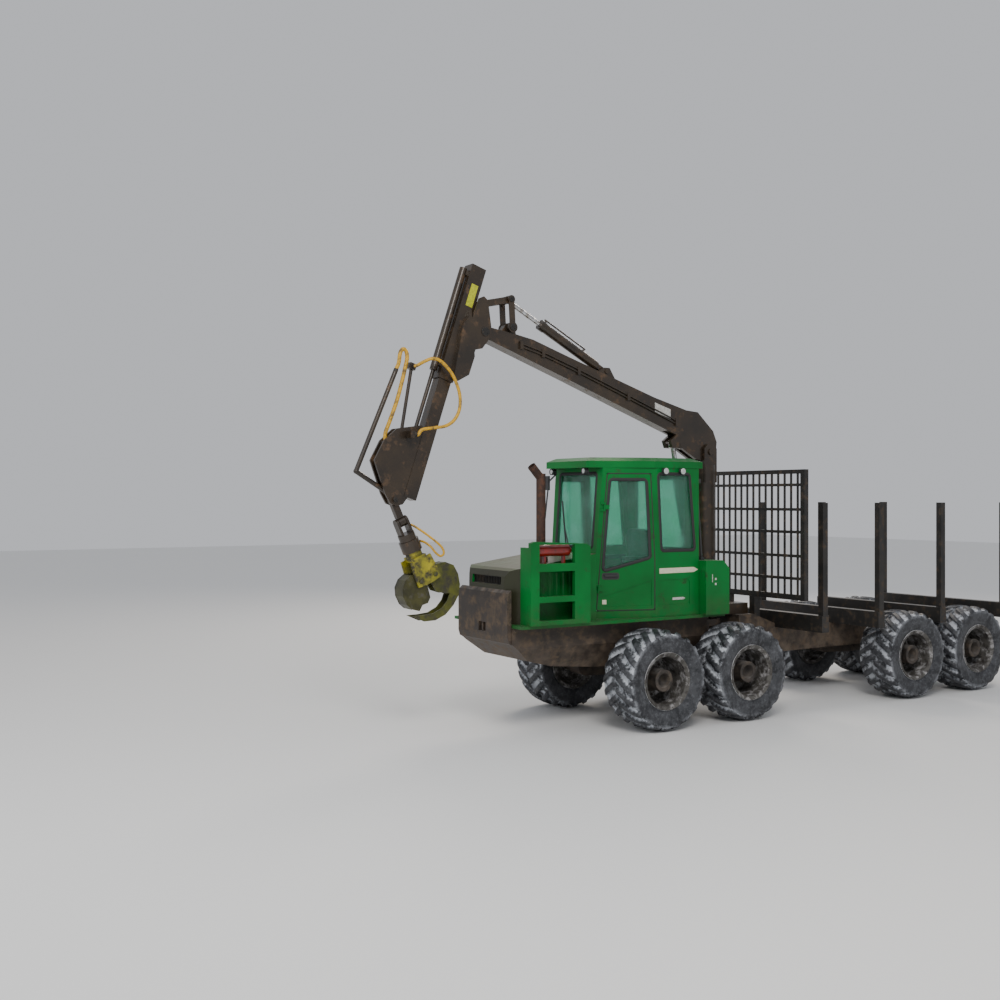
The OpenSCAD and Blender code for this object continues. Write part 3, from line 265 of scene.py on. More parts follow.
def lowDown(tree, coord, top, bottom):
    # Mask that grows from height top down to height bottom.
    return alongAxis(tree, coord.outputs["Object"], "Z", top, bottom)


def bumpFrom(tree, shader, height, strength, distance):
    bump = tree.nodes.new("ShaderNodeBump")
    bump.inputs["Strength"].default_value = strength
    bump.inputs["Distance"].default_value = distance
    tree.links.new(height, bump.inputs["Height"])
    tree.links.new(bump.outputs["Normal"], shader.inputs["Normal"])


def roughBetween(tree, shader, mask, low, high):
    tree.links.new(ramped(tree, mask, low, high, "To"), shader.inputs["Roughness"])


# A full noise is (scale, detail, roughness, low, high); drift, grime and grain get their scale from the paint
coatLook = dict(drift=(3, 0.55, 0.35, 0.65), grime=(7, 0.65), grimeBand=0.16,
                speckle=(9.0, 6, 0.6, 0.36, 0.62), dustFacing=(0.55, 0.95),
                splash=(5.0, 8, 0.7, 0.40, 0.60), mudFade=0.7,
                frontFacing=(0.55, 0.80), frontShare=0.94, topFacing=(0.50, 0.90),
                grain=(5, 0.6, 0.2, 0.8), grainDepth=0.004, coatRough=0.12)


def coat(name, look):
    # Painted or bare metal: a colour that drifts a little, grime in patches, dust on top and mud low down.
    mat, tree, shader, coord = startMaterial(name)
    rule = coatLook
    drift = noiseOf(tree, coord, look["driftScale"], *rule["drift"])
    colour = mixColour(tree, drift, look["colour"], look["shade"])
    grimeTo = look["grimeFrom"] + rule["grimeBand"]
    grime = noiseOf(tree, coord, look["grimeScale"], *rule["grime"], look["grimeFrom"], grimeTo)
    colour = mixColour(tree, grime, colour, look["grime"])
    wear = grime
    if look.get("dust"):
        speckle = noiseOf(tree, coord, *rule["speckle"])
        top = maths(tree, "MULTIPLY", facing(tree, coord, "Z", *rule["dustFacing"]), speckle)
        top = maths(tree, "MULTIPLY", top, look["dustShare"])
        colour = mixColour(tree, top, colour, look["dust"])
        wear = maths(tree, "ADD", wear, top)
    if look.get("mud"):
        splash = noiseOf(tree, coord, *rule["splash"])
        below = lowDown(tree, coord, look["mudTop"], look["mudTop"] - rule["mudFade"])
        low = maths(tree, "MULTIPLY", below, splash)
        colour = mixColour(tree, low, colour, look["mud"])
        wear = maths(tree, "ADD", wear, low)
    # Faces that look forward are mixed towards the front colour, and faces that look up towards the top
    # colour by topShare
    if look.get("front"):
        ahead = maths(tree, "MULTIPLY", facing(tree, coord, "X", *rule["frontFacing"]), rule["frontShare"])
        colour = mixColour(tree, ahead, colour, look["front"])
        above = maths(tree, "MULTIPLY", facing(tree, coord, "Z", *rule["topFacing"]), look["topShare"])
        colour = mixColour(tree, above, colour, look["top"])
    tree.links.new(colour, shader.inputs["Base Color"])
    shader.inputs["Metallic"].default_value = look["metal"]
    roughBetween(tree, shader, wear, look["rough"], look["roughWorn"])
    grain = noiseOf(tree, coord, look["grainScale"], *rule["grain"])
    bumpFrom(tree, shader, grain, look["grain"], rule["grainDepth"])
    shader.inputs["Specular IOR Level"].default_value = look.get("shine", 0.5)
    if look.get("coatGloss"):
        shader.inputs["Coat Weight"].default_value = look["coatGloss"]
        shader.inputs["Coat Roughness"].default_value = rule["coatRough"]
    return mat


greenLook = dict(colour=(0.000, 0.165, 0.026), shade=(0.000, 0.105, 0.016), driftScale=1.3,
                 grime=(0.018, 0.040, 0.016), grimeScale=6.0, grimeFrom=0.60, dust=(0.16, 0.20, 0.14),
                 dustShare=0.35, mud=(0.05, 0.055, 0.030), mudTop=1.75, metal=0.0, rough=0.40, roughWorn=0.62,
                 grainScale=140.0, grain=0.05, shine=0.28)
clawLook = dict(driftScale=6.0, rough=0.42, roughWorn=0.72, grainScale=70.0, grain=0.22)
paintLook = {
    "greenPaint": greenLook,
    "hoodPaint": dict(greenLook, front=(0.030, 0.022, 0.014), top=(0.115, 0.085, 0.060), topShare=0.75),
    "hullPaint": dict(colour=(0.050, 0.036, 0.027), shade=(0.026, 0.020, 0.016), driftScale=2.2,
                      grime=(0.110, 0.078, 0.052), grimeScale=8.0, grimeFrom=0.48, dust=(0.30, 0.27, 0.24),
                      dustShare=0.55, mud=(0.17, 0.13, 0.095), mudTop=1.3, metal=0.1, rough=0.55,
                      roughWorn=0.85, grainScale=60.0, grain=0.25),
    "boomPaint": dict(colour=(0.040, 0.026, 0.014), shade=(0.020, 0.014, 0.009), driftScale=2.6,
                      grime=(0.105, 0.058, 0.026), grimeScale=7.0, grimeFrom=0.55, metal=0.15, rough=0.36,
                      roughWorn=0.70, grainScale=90.0, grain=0.12, coatGloss=0.25),
    "yellowPaint": dict(colour=(0.42, 0.36, 0.012), shade=(0.20, 0.19, 0.014), driftScale=5.0,
                        grime=(0.040, 0.036, 0.022), grimeScale=7.0, grimeFrom=0.43, metal=0.05, rough=0.42,
                        roughWorn=0.75, grainScale=80.0, grain=0.2),
    "redPaint": dict(colour=(0.27, 0.006, 0.005), shade=(0.15, 0.005, 0.004), driftScale=6.0,
                     grime=(0.06, 0.02, 0.015), grimeScale=12.0, grimeFrom=0.56, dust=(0.50, 0.44, 0.42),
                     dustShare=0.30, metal=0.0, rough=0.28, roughWorn=0.6, grainScale=120.0, grain=0.05,
                     coatGloss=0.5),
    "darkSteel": dict(colour=(0.034, 0.031, 0.028), shade=(0.020, 0.019, 0.018), driftScale=3.0,
                      grime=(0.085, 0.060, 0.040), grimeScale=9.0, grimeFrom=0.52, dust=(0.4, 0.4, 0.4),
                      dustShare=0.30, metal=0.35, rough=0.5, roughWorn=0.8, grainScale=70.0, grain=0.2),
    "clawOlive": dict(clawLook, colour=(0.120, 0.125, 0.018), shade=(0.060, 0.062, 0.018),
                      grime=(0.050, 0.046, 0.034), grimeScale=9.0, grimeFrom=0.45, metal=0.3),
    "clawSteel": dict(clawLook, colour=(0.084, 0.080, 0.028), shade=(0.038, 0.037, 0.020),
                      grime=(0.12, 0.11, 0.09), grimeScale=10.0, grimeFrom=0.54, metal=0.5),
    "exhaustSteel": dict(colour=(0.060, 0.030, 0.020), shade=(0.030, 0.018, 0.014), driftScale=4.0,
                         grime=(0.11, 0.05, 0.03), grimeScale=14.0, grimeFrom=0.48, metal=0.4, rough=0.55,
                         roughWorn=0.8, grainScale=90.0, grain=0.2),
    "axleIron": dict(colour=(0.036, 0.030, 0.026), shade=(0.020, 0.018, 0.016), driftScale=3.0,
                     grime=(0.10, 0.08, 0.06), grimeScale=8.0, grimeFrom=0.48, dust=(0.40, 0.38, 0.36),
                     dustShare=0.5, mud=(0.15, 0.12, 0.10), mudTop=0.9, metal=0.2, rough=0.6, roughWorn=0.9,
                     grainScale=45.0, grain=0.4),
}
materials = {name: coat(name, look) for name, look in paintLook.items()}


def twoTone(name, look):
    # Two colours mixed by one noise, which also drives the roughness and the bump.
    mat, tree, shader, coord = startMaterial(name)
    mask = noiseOf(tree, coord, *look["noise"])
    tree.links.new(mixColour(tree, mask, look["colour"], look["other"]), shader.inputs["Base Color"])
    roughBetween(tree, shader, mask, *look["rough"])
    if look.get("bump"):
        bumpFrom(tree, shader, mask, *look["bump"])
    for socket, value in look.get("uniform", {}).items():
        shader.inputs[socket].default_value = value
    return mat


def trimLook(colour, other, rough, scale, metal=0.0):
    # Moulded plastic, rubber or a painted plate, with a fine grain.
    return dict(noise=(scale, 5, 0.6, 0.35, 0.65), colour=colour, other=other, rough=(rough, rough + 0.2),
                bump=(0.12, 0.001), uniform={"Metallic": metal})


# Packed frost on a wheel's flange, a rod with an oil film, cab glass with a breath of frost, and trim
twoToneLook = {
    "packedFrost": dict(noise=(16.0, 8, 0.7, 0.46, 0.62), colour=(0.66, 0.67, 0.69), other=(0.16, 0.15, 0.14),
                        rough=(0.75, 0.95), bump=(0.6, 0.008)),
    "rodChrome": dict(noise=(12.0, 5, 0.6, 0.42, 0.64), colour=(0.66, 0.67, 0.69), other=(0.34, 0.31, 0.27),
                      rough=(0.12, 0.38), uniform={"Metallic": 1.0}),
    "windowGlass": dict(noise=(2.4, 5, 0.6, 0.40, 0.74), colour=(0.28, 0.74, 0.54), other=(0.46, 0.82, 0.70),
                        rough=(0.03, 0.22), uniform={"Transmission Weight": 0.92, "IOR": 1.35}),
    "blackRubber": trimLook((0.012, 0.012, 0.013), (0.030, 0.030, 0.031), 0.6, 40.0),
    "blackPlastic": trimLook((0.020, 0.020, 0.022), (0.038, 0.038, 0.040), 0.4, 90.0),
    "creamPlate": trimLook((0.74, 0.70, 0.52), (0.60, 0.56, 0.42), 0.45, 30.0),
    "whitePlate": trimLook((0.62, 0.62, 0.60), (0.40, 0.39, 0.36), 0.5, 30.0),
    "lampGlass": trimLook((0.62, 0.64, 0.62), (0.42, 0.44, 0.43), 0.12, 60.0, 0.3),
    "brightYellow": trimLook((0.52, 0.55, 0.01), (0.34, 0.36, 0.01), 0.45, 30.0),
}
materials.update({name: twoTone(name, look) for name, look in twoToneLook.items()})

rubberLook = dict(patches=(7.0, 8, 0.70, 0.44, 0.56), scuffs=(22.0, 6, 0.7, 0.50, 0.66), scuffShare=0.08,
                  drift=(3.0, 4, 0.55, 0.4, 0.6), dark=(0.009, 0.010, 0.013), pale=(0.026, 0.027, 0.032),
                  frost=(0.60, 0.63, 0.68), rough=(0.55, 0.92), bump=(0.35, 0.006))


def tyreMaterial(look):
    # Rubber with packed frost: groove is 1 between the tread bars, and fades on the sidewall.
    mat, tree, shader, coord = startMaterial("tyreRubber")
    groove = tree.nodes.new("ShaderNodeAttribute")
    groove.attribute_name = "groove"
    patches = noiseOf(tree, coord, *look["patches"])
    scuffs = noiseOf(tree, coord, *look["scuffs"])
    frost = maths(tree, "MULTIPLY", patches, groove.outputs["Fac"])
    frost = maths(tree, "ADD", frost, maths(tree, "MULTIPLY", scuffs, look["scuffShare"]))
    rubber = mixColour(tree, noiseOf(tree, coord, *look["drift"]), look["dark"], look["pale"])
    tree.links.new(mixColour(tree, frost, rubber, look["frost"]), shader.inputs["Base Color"])
    roughBetween(tree, shader, frost, *look["rough"])
    bumpFrom(tree, shader, scuffs, *look["bump"])
    return mat


rimLook = dict(cake=(8.5, 8, 0.7, 0.50, 0.66), dirt=(13.0, 6, 0.65, 0.46, 0.62), paint=(0.085, 0.080, 0.072),
               dirty=(0.034, 0.029, 0.025), frost=(0.40, 0.39, 0.39), rough=(0.6, 0.95), bump=(0.5, 0.012))


def rimMaterial(look):
    # Painted wheel centre, caked with frost and road dirt.
    mat, tree, shader, coord = startMaterial("rimPaint")
    cake = noiseOf(tree, coord, *look["cake"])
    dirt = noiseOf(tree, coord, *look["dirt"])
    colour = mixColour(tree, dirt, look["paint"], look["dirty"])
    tree.links.new(mixColour(tree, cake, colour, look["frost"]), shader.inputs["Base Color"])
    roughBetween(tree, shader, cake, *look["rough"])
    bumpFrom(tree, shader, maths(tree, "ADD", cake, dirt), *look["bump"])
    return mat


clothLook = dict(threads=160.0, mottle=(18.0, 4, 0.55, 0.4, 0.6), dark=(0.030, 0.031, 0.034),
                 pale=(0.055, 0.056, 0.060), raised=(0.09, 0.09, 0.10), rough=0.9, sheen=0.3,
                 bump=(0.3, 0.001))


def clothMaterial(look):
    # Woven seat cloth: two crossed fine waves over a mottled dark grey.
    mat, tree, shader, coord = startMaterial("seatCloth")
    warp, weft = (waveOf(tree, coord.outputs["Object"], axis, look["threads"]) for axis in "XZ")
    weave = maths(tree, "MULTIPLY", warp, weft)
    colour = mixColour(tree, noiseOf(tree, coord, *look["mottle"]), look["dark"], look["pale"])
    tree.links.new(mixColour(tree, weave, colour, look["raised"]), shader.inputs["Base Color"])
    shader.inputs["Roughness"].default_value = look["rough"]
    shader.inputs["Sheen Weight"].default_value = look["sheen"]
    bumpFrom(tree, shader, weave, *look["bump"])
    return mat


sleeveLook = dict(ribs=18.0, grease=(14.0, 6, 0.6, 0.50, 0.66), clean=(0.60, 0.335, 0.012),
                  greasy=(0.16, 0.10, 0.03), rough=(0.42, 0.7), bump=(0.4, 0.003))


def hoseMaterial(look):
    # Yellow hose sleeve: ribs across the hose, spaced by its UV, greasy in patches.
    mat, tree, shader, coord = startMaterial("hoseSleeve")
    ribs = waveOf(tree, coord.outputs["UV"], "X", look["ribs"])
    grease = noiseOf(tree, coord, *look["grease"])
    tree.links.new(mixColour(tree, grease, look["clean"], look["greasy"]), shader.inputs["Base Color"])
    roughBetween(tree, shader, grease, *look["rough"])
    bumpFrom(tree, shader, ribs, *look["bump"])
    return mat


materials.update({
    "tyreRubber": tyreMaterial(rubberLook),
    "rimPaint": rimMaterial(rimLook),
    "seatCloth": clothMaterial(clothLook),
    "hoseSleeve": hoseMaterial(sleeveLook),
})
print("stage: materials made,", len(materials))

nodeFinish = {
    "greenPaint": ["side_guards", "deck", "cab_shell", "cab_roof", "rear_boxes", "door"],
    "hoodPaint": ["hood"],
    "hullPaint": ["front_frame", "bumper", "rear_frame"],
    "axleIron": ["front_bogies", "rear_bogies", "engine"],
    "boomPaint": ["slew_base", "pillar", "lift_boom", "lift_barrel", "jib_barrel", "lever", "link", "dipper",
                  "extension", "tip_link", "tip_yoke"],
    "darkSteel": ["grille", "headboard", "bunks", "steer_barrel_left", "steer_barrel_right"],
    "rodChrome": ["lift_rod", "jib_rod", "steer_rod_left", "steer_rod_right"],
    "exhaustSteel": ["exhaust"],
    "redPaint": ["extinguisher"],
    "windowGlass": ["cab_glass", "door_glass"],
    "yellowPaint": ["grapple_frame"],
    "clawOlive": ["claw_rear"],
    "clawSteel": ["claw_front"],
    "seatCloth": ["seat"],
    "hoseSleeve": ["hoses", "tip_hose"],
    "blackPlastic": ["cab_fittings"],
    "rimPaint": [n for n in nodes if n.startswith("rim_")],
    "tyreRubber": [n for n in nodes if n.startswith("tyre_")],
}
for finish, names in nodeFinish.items():
    for name in names:
        for place in nodes[name].material_slots:
            place.material = materials[finish]


# Camera first, because cords are judged by its view

cameraLook = dict(place=(11.869, 13.323, 3.07), turn=148.0, lens=42.66, sensor=36.0, shiftY=-0.002)


def setCamera(look):
    data = bpy.data.cameras.new("camera")
    data.sensor_width = look["sensor"]
    data.lens = look["lens"]
    data.shift_y = look["shiftY"]
    camera = bpy.data.objects.new("camera", data)
    camera.location = look["place"]
    camera.rotation_euler = (math.radians(90), 0, math.radians(look["turn"]))
    bpy.context.scene.collection.objects.link(camera)
    bpy.context.scene.camera = camera


setCamera(cameraLook)


# Wheels

tyreLook = dict(bars=22, slant=0.62, slantR=0.64, halfWidth=0.300, edge=0.012, casingR=0.627, drop=0.026,
                barH=0.0395, barShare=0.40, barSoft=0.16, edgeLoss=0.25, gapHalf=0.004, gapSoft=0.012,
                around=352, across=44)
# Sidewall and inside of a tyre: (radius, distance from the middle)
tyreWall = np.array([[0.603, 0.2995], [0.560, 0.3000], [0.510, 0.2985], [0.470, 0.2955], [0.430, 0.2870],
                     [0.392, 0.2750], [0.366, 0.2560], [0.3405, 0.2385], [0.3405, 0.2085], [0.40, 0.248],
                     [0.470, 0.266], [0.547, 0.268], [0.590, 0.235], [0.597, 0.0]])
# How much frost each place can hold, as shares of 1
frostShare = dict(bar=0.06, groove=0.95, barFrom=0.4, middle=0.55, outer=0.45, wall=0.42, base=0.05,
                  shoulderR=0.62, shoulderFade=0.05)


def tyrePoints(look, hand):
    # Casing radius by distance from the middle, plus chevron bars where the slanted phase falls inside a bar.
    n = look["around"]
    a = np.linspace(0, 2 * np.pi, n, endpoint=False)[:, None]
    tread = np.linspace(-1, 1, look["across"])[None]
    y = tread * (look["halfWidth"] - look["edge"])
    casing = look["casingR"] - look["drop"] * np.abs(tread) ** 4
    stagger = (tread > 0) * 0.5
    lean = look["slant"] * hand * np.abs(y) / (2 * np.pi * look["slantR"]) * look["bars"]
    phase = (a * look["bars"] / (2 * np.pi) + stagger - lean) % 1.0
    near = np.abs(phase - 0.5) * 2
    ridge = np.clip((look["barShare"] + look["barSoft"] - near) / look["barSoft"], 0, 1)
    ridge = ridge * ridge * (3 - 2 * ridge)
    ridge = ridge * np.clip((np.abs(y) - look["gapHalf"]) / look["gapSoft"], 0, 1)
    r = casing + look["barH"] * ridge * (1 - look["edgeLoss"] * np.abs(tread) ** 6)
    treadPts = np.stack([r * np.sin(a), y + 0 * a, r * np.cos(a)], -1)

    def wallPts(sign, wall):
        rr = wall[:, 0][None] + 0 * a
        yy = sign * wall[:, 1][None] + 0 * a
        return np.stack([rr * np.sin(a), yy, rr * np.cos(a)], -1)

    parts = [treadPts, wallPts(1, tyreWall), wallPts(-1, tyreWall[::-1][1:])]
    hold = frostShare
    shoulder = np.clip((hold["shoulderR"] - tyreWall[:, 0]) / hold["shoulderFade"], 0, 1)
    side = hold["wall"] * (1 - shoulder) + hold["base"]
    across = hold["middle"] + hold["outer"] * np.abs(tread)
    groove = np.concatenate([np.where(ridge > hold["barFrom"], hold["bar"], hold["groove"]) * across + 0 * a,
                             np.broadcast_to(side, (n, len(side))),
                             np.broadcast_to(side[::-1][1:], (n, len(side) - 1))], 1)
    return np.concatenate(parts, 1), groove


def makeTyre(letter, axle, side, sideName):
    points, groove = tyrePoints(tyreLook, side)
    centre = np.array([axleX + axles[axle], side * wheelY, tyreR])
    faces = gridFaces(*points.shape[:2], closeU=True, closeV=True)
    piece = addMesh(f"tread_{letter}_{sideName}", points + centre, faces, f"wheel_{letter}_{sideName}",
                    "tyre rubber", materials["tyreRubber"])
    layer = piece.data.attributes.new("groove", "FLOAT", "POINT")
    layer.data.foreach_set("value", groove.reshape(-1).astype(np.float32))
    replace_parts(piece, f"tyre_{letter}_{sideName}")
    outward(piece)


nutLook = dict(count=10, ringR=0.215, nutR=0.017, height=0.022, sunk=0.004, chamfer=0.004, topShare=0.8,
               closeR=0.0001, faceY=0.98, sides=6)
hubLook = dict(drum=[(0.982, 0.170), (1.000, 0.170), (1.004, 0.152), (1.225, 0.142), (1.236, 0.146),
                     (1.250, 0.146), (1.254, 0.141), (1.254, 0.100), (1.246, 0.092), (1.150, 0.088),
                     (1.150, axisR)], drumSides=40,
               frost=[(1.3180, 0.3560), (1.3225, 0.3620), (1.3240, 0.3720), (1.3215, 0.3815),
                      (1.3160, 0.3840), (1.3100, 0.3835)], frostSides=72)


def makeHub(letter, axle, side, sideName):
    # A ring of six-sided nuts round the hub, the hub's hollow drum, and frost packed on the flange.
    look, outwards = nutLook, (0, side, 0)
    centre = np.array([axleX + axles[axle], 0, tyreR])
    top = look["height"] + look["chamfer"]
    profile = [(-look["sunk"], look["nutR"]), (look["height"], look["nutR"]),
               (top, look["nutR"] * look["topShare"]), (top, look["closeR"])]
    parts = []
    for k in range(look["count"]):
        a = 2 * math.pi * k / look["count"]
        spot = np.array([look["ringR"] * math.sin(a), side * look["faceY"], look["ringR"] * math.cos(a)])
        parts.append(turned(profile, centre + spot, outwards, look["sides"]))
    body, word = f"wheel_{letter}_{sideName}", f"{letter}_{sideName}"
    outward(addMesh(f"wheel_nuts_{word}", *joinParts(parts), body, "rim paint", materials["axleIron"], False))
    drum = turned(hubLook["drum"], centre, outwards, hubLook["drumSides"])
    addMesh(f"wheel_hub_{word}", *drum, body, "rim paint", materials["axleIron"])
    ring = turned(hubLook["frost"], centre, outwards, hubLook["frostSides"])
    addMesh(f"wheel_frost_{word}", *ring, body, "rim paint", materials["packedFrost"])


for axle, letter in enumerate("abcd"):
    for side, sideName in bothSides:
        makeTyre(letter, axle, side, sideName)
        makeHub(letter, axle, side, sideName)
print("stage: wheels dressed")


# Cab planes: each puts (a, z, out) in its own panel

cabLook = dict(lean=4.5, postX=0.640, postY=0.500, alongX=-0.890, alongY=0.300, footZ=1.450, screenZ=2.400,
               sideY=0.800, rearX=0.78)
screenLean = math.radians(cabLook["lean"])
doorOrigin = np.array([axleX + cabLook["postX"], cabLook["postY"]])
doorAlong = unit(np.array([cabLook["alongX"], cabLook["alongY"]]))
doorOut = np.array([doorAlong[1], -doorAlong[0]])
doorSlope = math.tan(screenLean) / math.cos(math.atan2(cabLook["alongY"], -cabLook["alongX"]))


def onDoor(side):
    def put(a, z, out):
        x = doorOrigin[0] + a * doorAlong[0] + out * doorOut[0]
        y = doorOrigin[1] + a * doorAlong[1] + out * doorOut[1]
        return np.stack([x + 0 * z, side * (y + 0 * z), z + 0 * x], -1)
    return put


def onPlane(y, side=1):
    return lambda a, z, out: np.stack([axleX + a, side * (y + out) + 0 * a, z + 0 * a], -1)


def onSide(side):
    return onPlane(cabLook["sideY"], side)


def onScreen(y, up, out):
    s, c = math.sin(screenLean), math.cos(screenLean)
    foot = doorOrigin[0] - math.tan(screenLean) * (cabLook["screenZ"] - cabLook["footZ"])
    return np.stack([foot - up * s + out * c, y + 0 * up, cabLook["screenZ"] + up * c + out * s], -1)


def onRear(y, z, out):
    return np.stack([cabLook["rearX"] - out + 0 * y, y + 0 * z, z + 0 * y], -1)


def alongDoor(s, z):
    # A corner on the door panel's front edge, which leans with the windscreen.
    return s + doorSlope * (z - cabLook["footZ"]), z


def doorNormal(side):
    return doorOut[0], side * doorOut[1], 0


sealLook = dict(width=0.022, proud=0.009, radius=0.045, sunk=0.004, cornerSteps=6, sectionSteps=7)
doorSealLook = dict(sealLook, width=0.007, proud=0.003, radius=0.03)


def seal(name, corners, put, normal, body, look=sealLook):
    # A rubber strip round a window, a soft half-round section carried along the rounded outline.
    flat = rounded(corners, look["radius"], look["cornerSteps"])
    points = put(flat[:, 0], flat[:, 1], np.zeros(len(flat)))
    t = np.linspace(0, np.pi, look["sectionSteps"])
    section = np.stack([look["width"] * np.cos(t), look["proud"] * np.sin(t)], -1)
    section = np.vstack([section, [[-look["width"], -look["sunk"]], [look["width"], -look["sunk"]]]])
    strip = addMesh(name, *ringAlong(points, normal, section), body, "window glass", materials["blackRubber"])
    return outward(strip)


doorWindow = [alongDoor(0.112, 2.080), alongDoor(0.112, 3.320), (0.7892, 3.320), (0.8442, 2.260)]
sideWindow = [(-0.330, 2.350), (-0.270, 3.400), (-0.830, 3.400), (-0.930, 2.350)]
screenWindow = [(-0.430, 0.0), (0.430, 0.0), (0.430, 1.010), (-0.430, 1.010)]
rearWindow = [(-0.560, 2.350), (0.560, 2.350), (0.560, 3.350), (-0.560, 3.350)]
doorEdge = [alongDoor(0.070, 1.555), alongDoor(0.070, 3.400), (0.8492, 3.400), (0.9092, 2.240),
            (0.9092, 1.555)]
seal("door_window_seal", doorWindow, onDoor(1), doorNormal(1), "door")
seal("right_window_seal", doorWindow, onDoor(-1), doorNormal(-1), "front")
for side, word in bothSides:
    seal(f"rear_side_seal_{word}", sideWindow, onSide(side), (0, side, 0), "front")
seal("screen_seal", screenWindow, onScreen, (math.cos(screenLean), 0, math.sin(screenLean)), "front")
seal("rear_window_seal", rearWindow, onRear, (-1, 0, 0), "front")
seal("door_edge_seal", doorEdge, onDoor(1), doorNormal(1), "door", doorSealLook)
print("stage: seals made")


# Blank plates, and the dish and grip of the door's handle: lift is a plate's gap to its panel

plateLook = dict(lift=0.0005, pocket=-0.008, top=0.004, boomTop=0.003, markTop=0.002, bevel=0.001,
                 dishTop=0.005, gripTop=0.034, gripBevel=0.004, boomY=0.100, boxY=0.940)


def plate(name, corners, depths, put, body, slotName, material, bevel=plateLook["bevel"]):
    shape = prism(corners, *depths, put)
    piece = outward(addMesh(name, *shape, body, slotName, materials[material], False))
    if bevel:
        bevelled(piece, bevel)


lift, pocket = plateLook["lift"], plateLook["pocket"]
pocketDepths = (pocket + lift, pocket + plateLook["top"])
handleDish = rounded([(0.155, 1.972), (0.155, 2.064), (0.400, 2.064), (0.400, 1.972)], 0.03, 5)
handleGrip = rounded([(0.180, 2.012), (0.180, 2.036), (0.375, 2.036), (0.375, 2.012)], 0.008, 4)
plate("cream_plate", [(-0.293, 2.040), (-0.293, 2.112), (-0.905, 2.114), (-0.985, 2.078), (-0.905, 2.044)],
      (lift, plateLook["top"]), onSide(1), "front", "green paint", "creamPlate")
plate("small_plate", [(-0.530, 1.672), (-0.530, 1.706), (-0.720, 1.706), (-0.760, 1.689), (-0.720, 1.672)],
      pocketDepths, onSide(1), "front", "green paint", "whitePlate")
plate("door_badge", [(0.160, 1.640), (0.160, 1.700), (0.220, 1.700), (0.220, 1.640)],
      pocketDepths, onDoor(1), "door", "green paint", "creamPlate")
plate("handle_dish", handleDish, (lift, plateLook["dishTop"]), onDoor(1), "door", "green paint",
      "blackPlastic")
plate("handle_grip", handleGrip, (plateLook["dishTop"], plateLook["gripTop"]), onDoor(1), "door",
      "green paint", "blackPlastic", plateLook["gripBevel"])
plate("boom_plate", [(-0.790, 4.300), (-0.790, 4.440), (-1.080, 4.350), (-1.080, 4.215)],
      (lift, plateLook["boomTop"]), onPlane(plateLook["boomY"]), "boom", "boom paint", "whitePlate")
for side, word in bothSides:
    plate(f"dipper_plate_{word}", [(2.257, 5.534), (2.352, 5.565), (2.255, 5.854), (2.160, 5.823)],
          (lift, plateLook["boomTop"]), onPlane(plateLook["boomY"], side), "dipper", "boom paint",
          "brightYellow")
# Marks on the rear box: (x, z, width, height)
boxMarks = [(-1.12, 1.90, 0.012, 0.11), (-1.17, 1.93, 0.03, 0.03), (-1.17, 1.86, 0.03, 0.03)]
for k, (x, z, w, h) in enumerate(boxMarks):
    plate(f"box_mark_{k + 1}", [(x, z), (x, z + h), (x - w, z + h), (x - w, z)], (lift, plateLook["markTop"]),
          onPlane(plateLook["boxY"]), "front", "green paint", "whitePlate", 0)

lampLook = dict(ring=0.004, dome=0.008, closeR=0.0001, rows=6, steps=24)
# Work lamps: (centre, direction, radius)
lampPlaces = [((-0.360, 0.8663, 3.436), (0, 1, 0), 0.042), ((-0.660, 0.8663, 3.436), (0, 1, 0), 0.042),
              ((-0.360, -0.8663, 3.436), (0, -1, 0), 0.042), ((-0.660, -0.8663, 3.436), (0, -1, 0), 0.042),
              ((0.674, 0.380, 3.4353), (1, 0, 0), 0.035), ((0.674, -0.380, 3.4353), (1, 0, 0), 0.035),
              ((-1.0593, 0.560, 3.4353), (-1, 0, 0), 0.035), ((-1.0593, -0.560, 3.4353), (-1, 0, 0), 0.035)]


def makeLens(name, centre, direction, radius, look):
    # Domed lamp glass: a turned dome on a short rim, seated on the lamp's dish.
    profile = [(hairGap, look["closeR"]), (hairGap, radius)]
    profile += [(look["ring"] + look["dome"] * math.sin(t), radius * math.cos(t))
                for t in np.linspace(0, math.pi / 2 - 0.01, look["rows"])]
    lens = turned(profile, centre, direction, look["steps"])
    outward(addMesh(name, *lens, "front", "window glass", materials["lampGlass"]))


for k, (at, towards, radius) in enumerate(lampPlaces):
    makeLens(f"lamp_lens_{k + 1}", (axleX + at[0], at[1], at[2]), towards, radius, lampLook)


# Seat: two crowned cushions on the pedestal, with arm rests and levers

cushionLook = dict(around=120, rows=72, power=0.34, pole=0.02, crown=0.30, channelDeep=0.008,
                   channelHalf=0.009, fill=0.75)


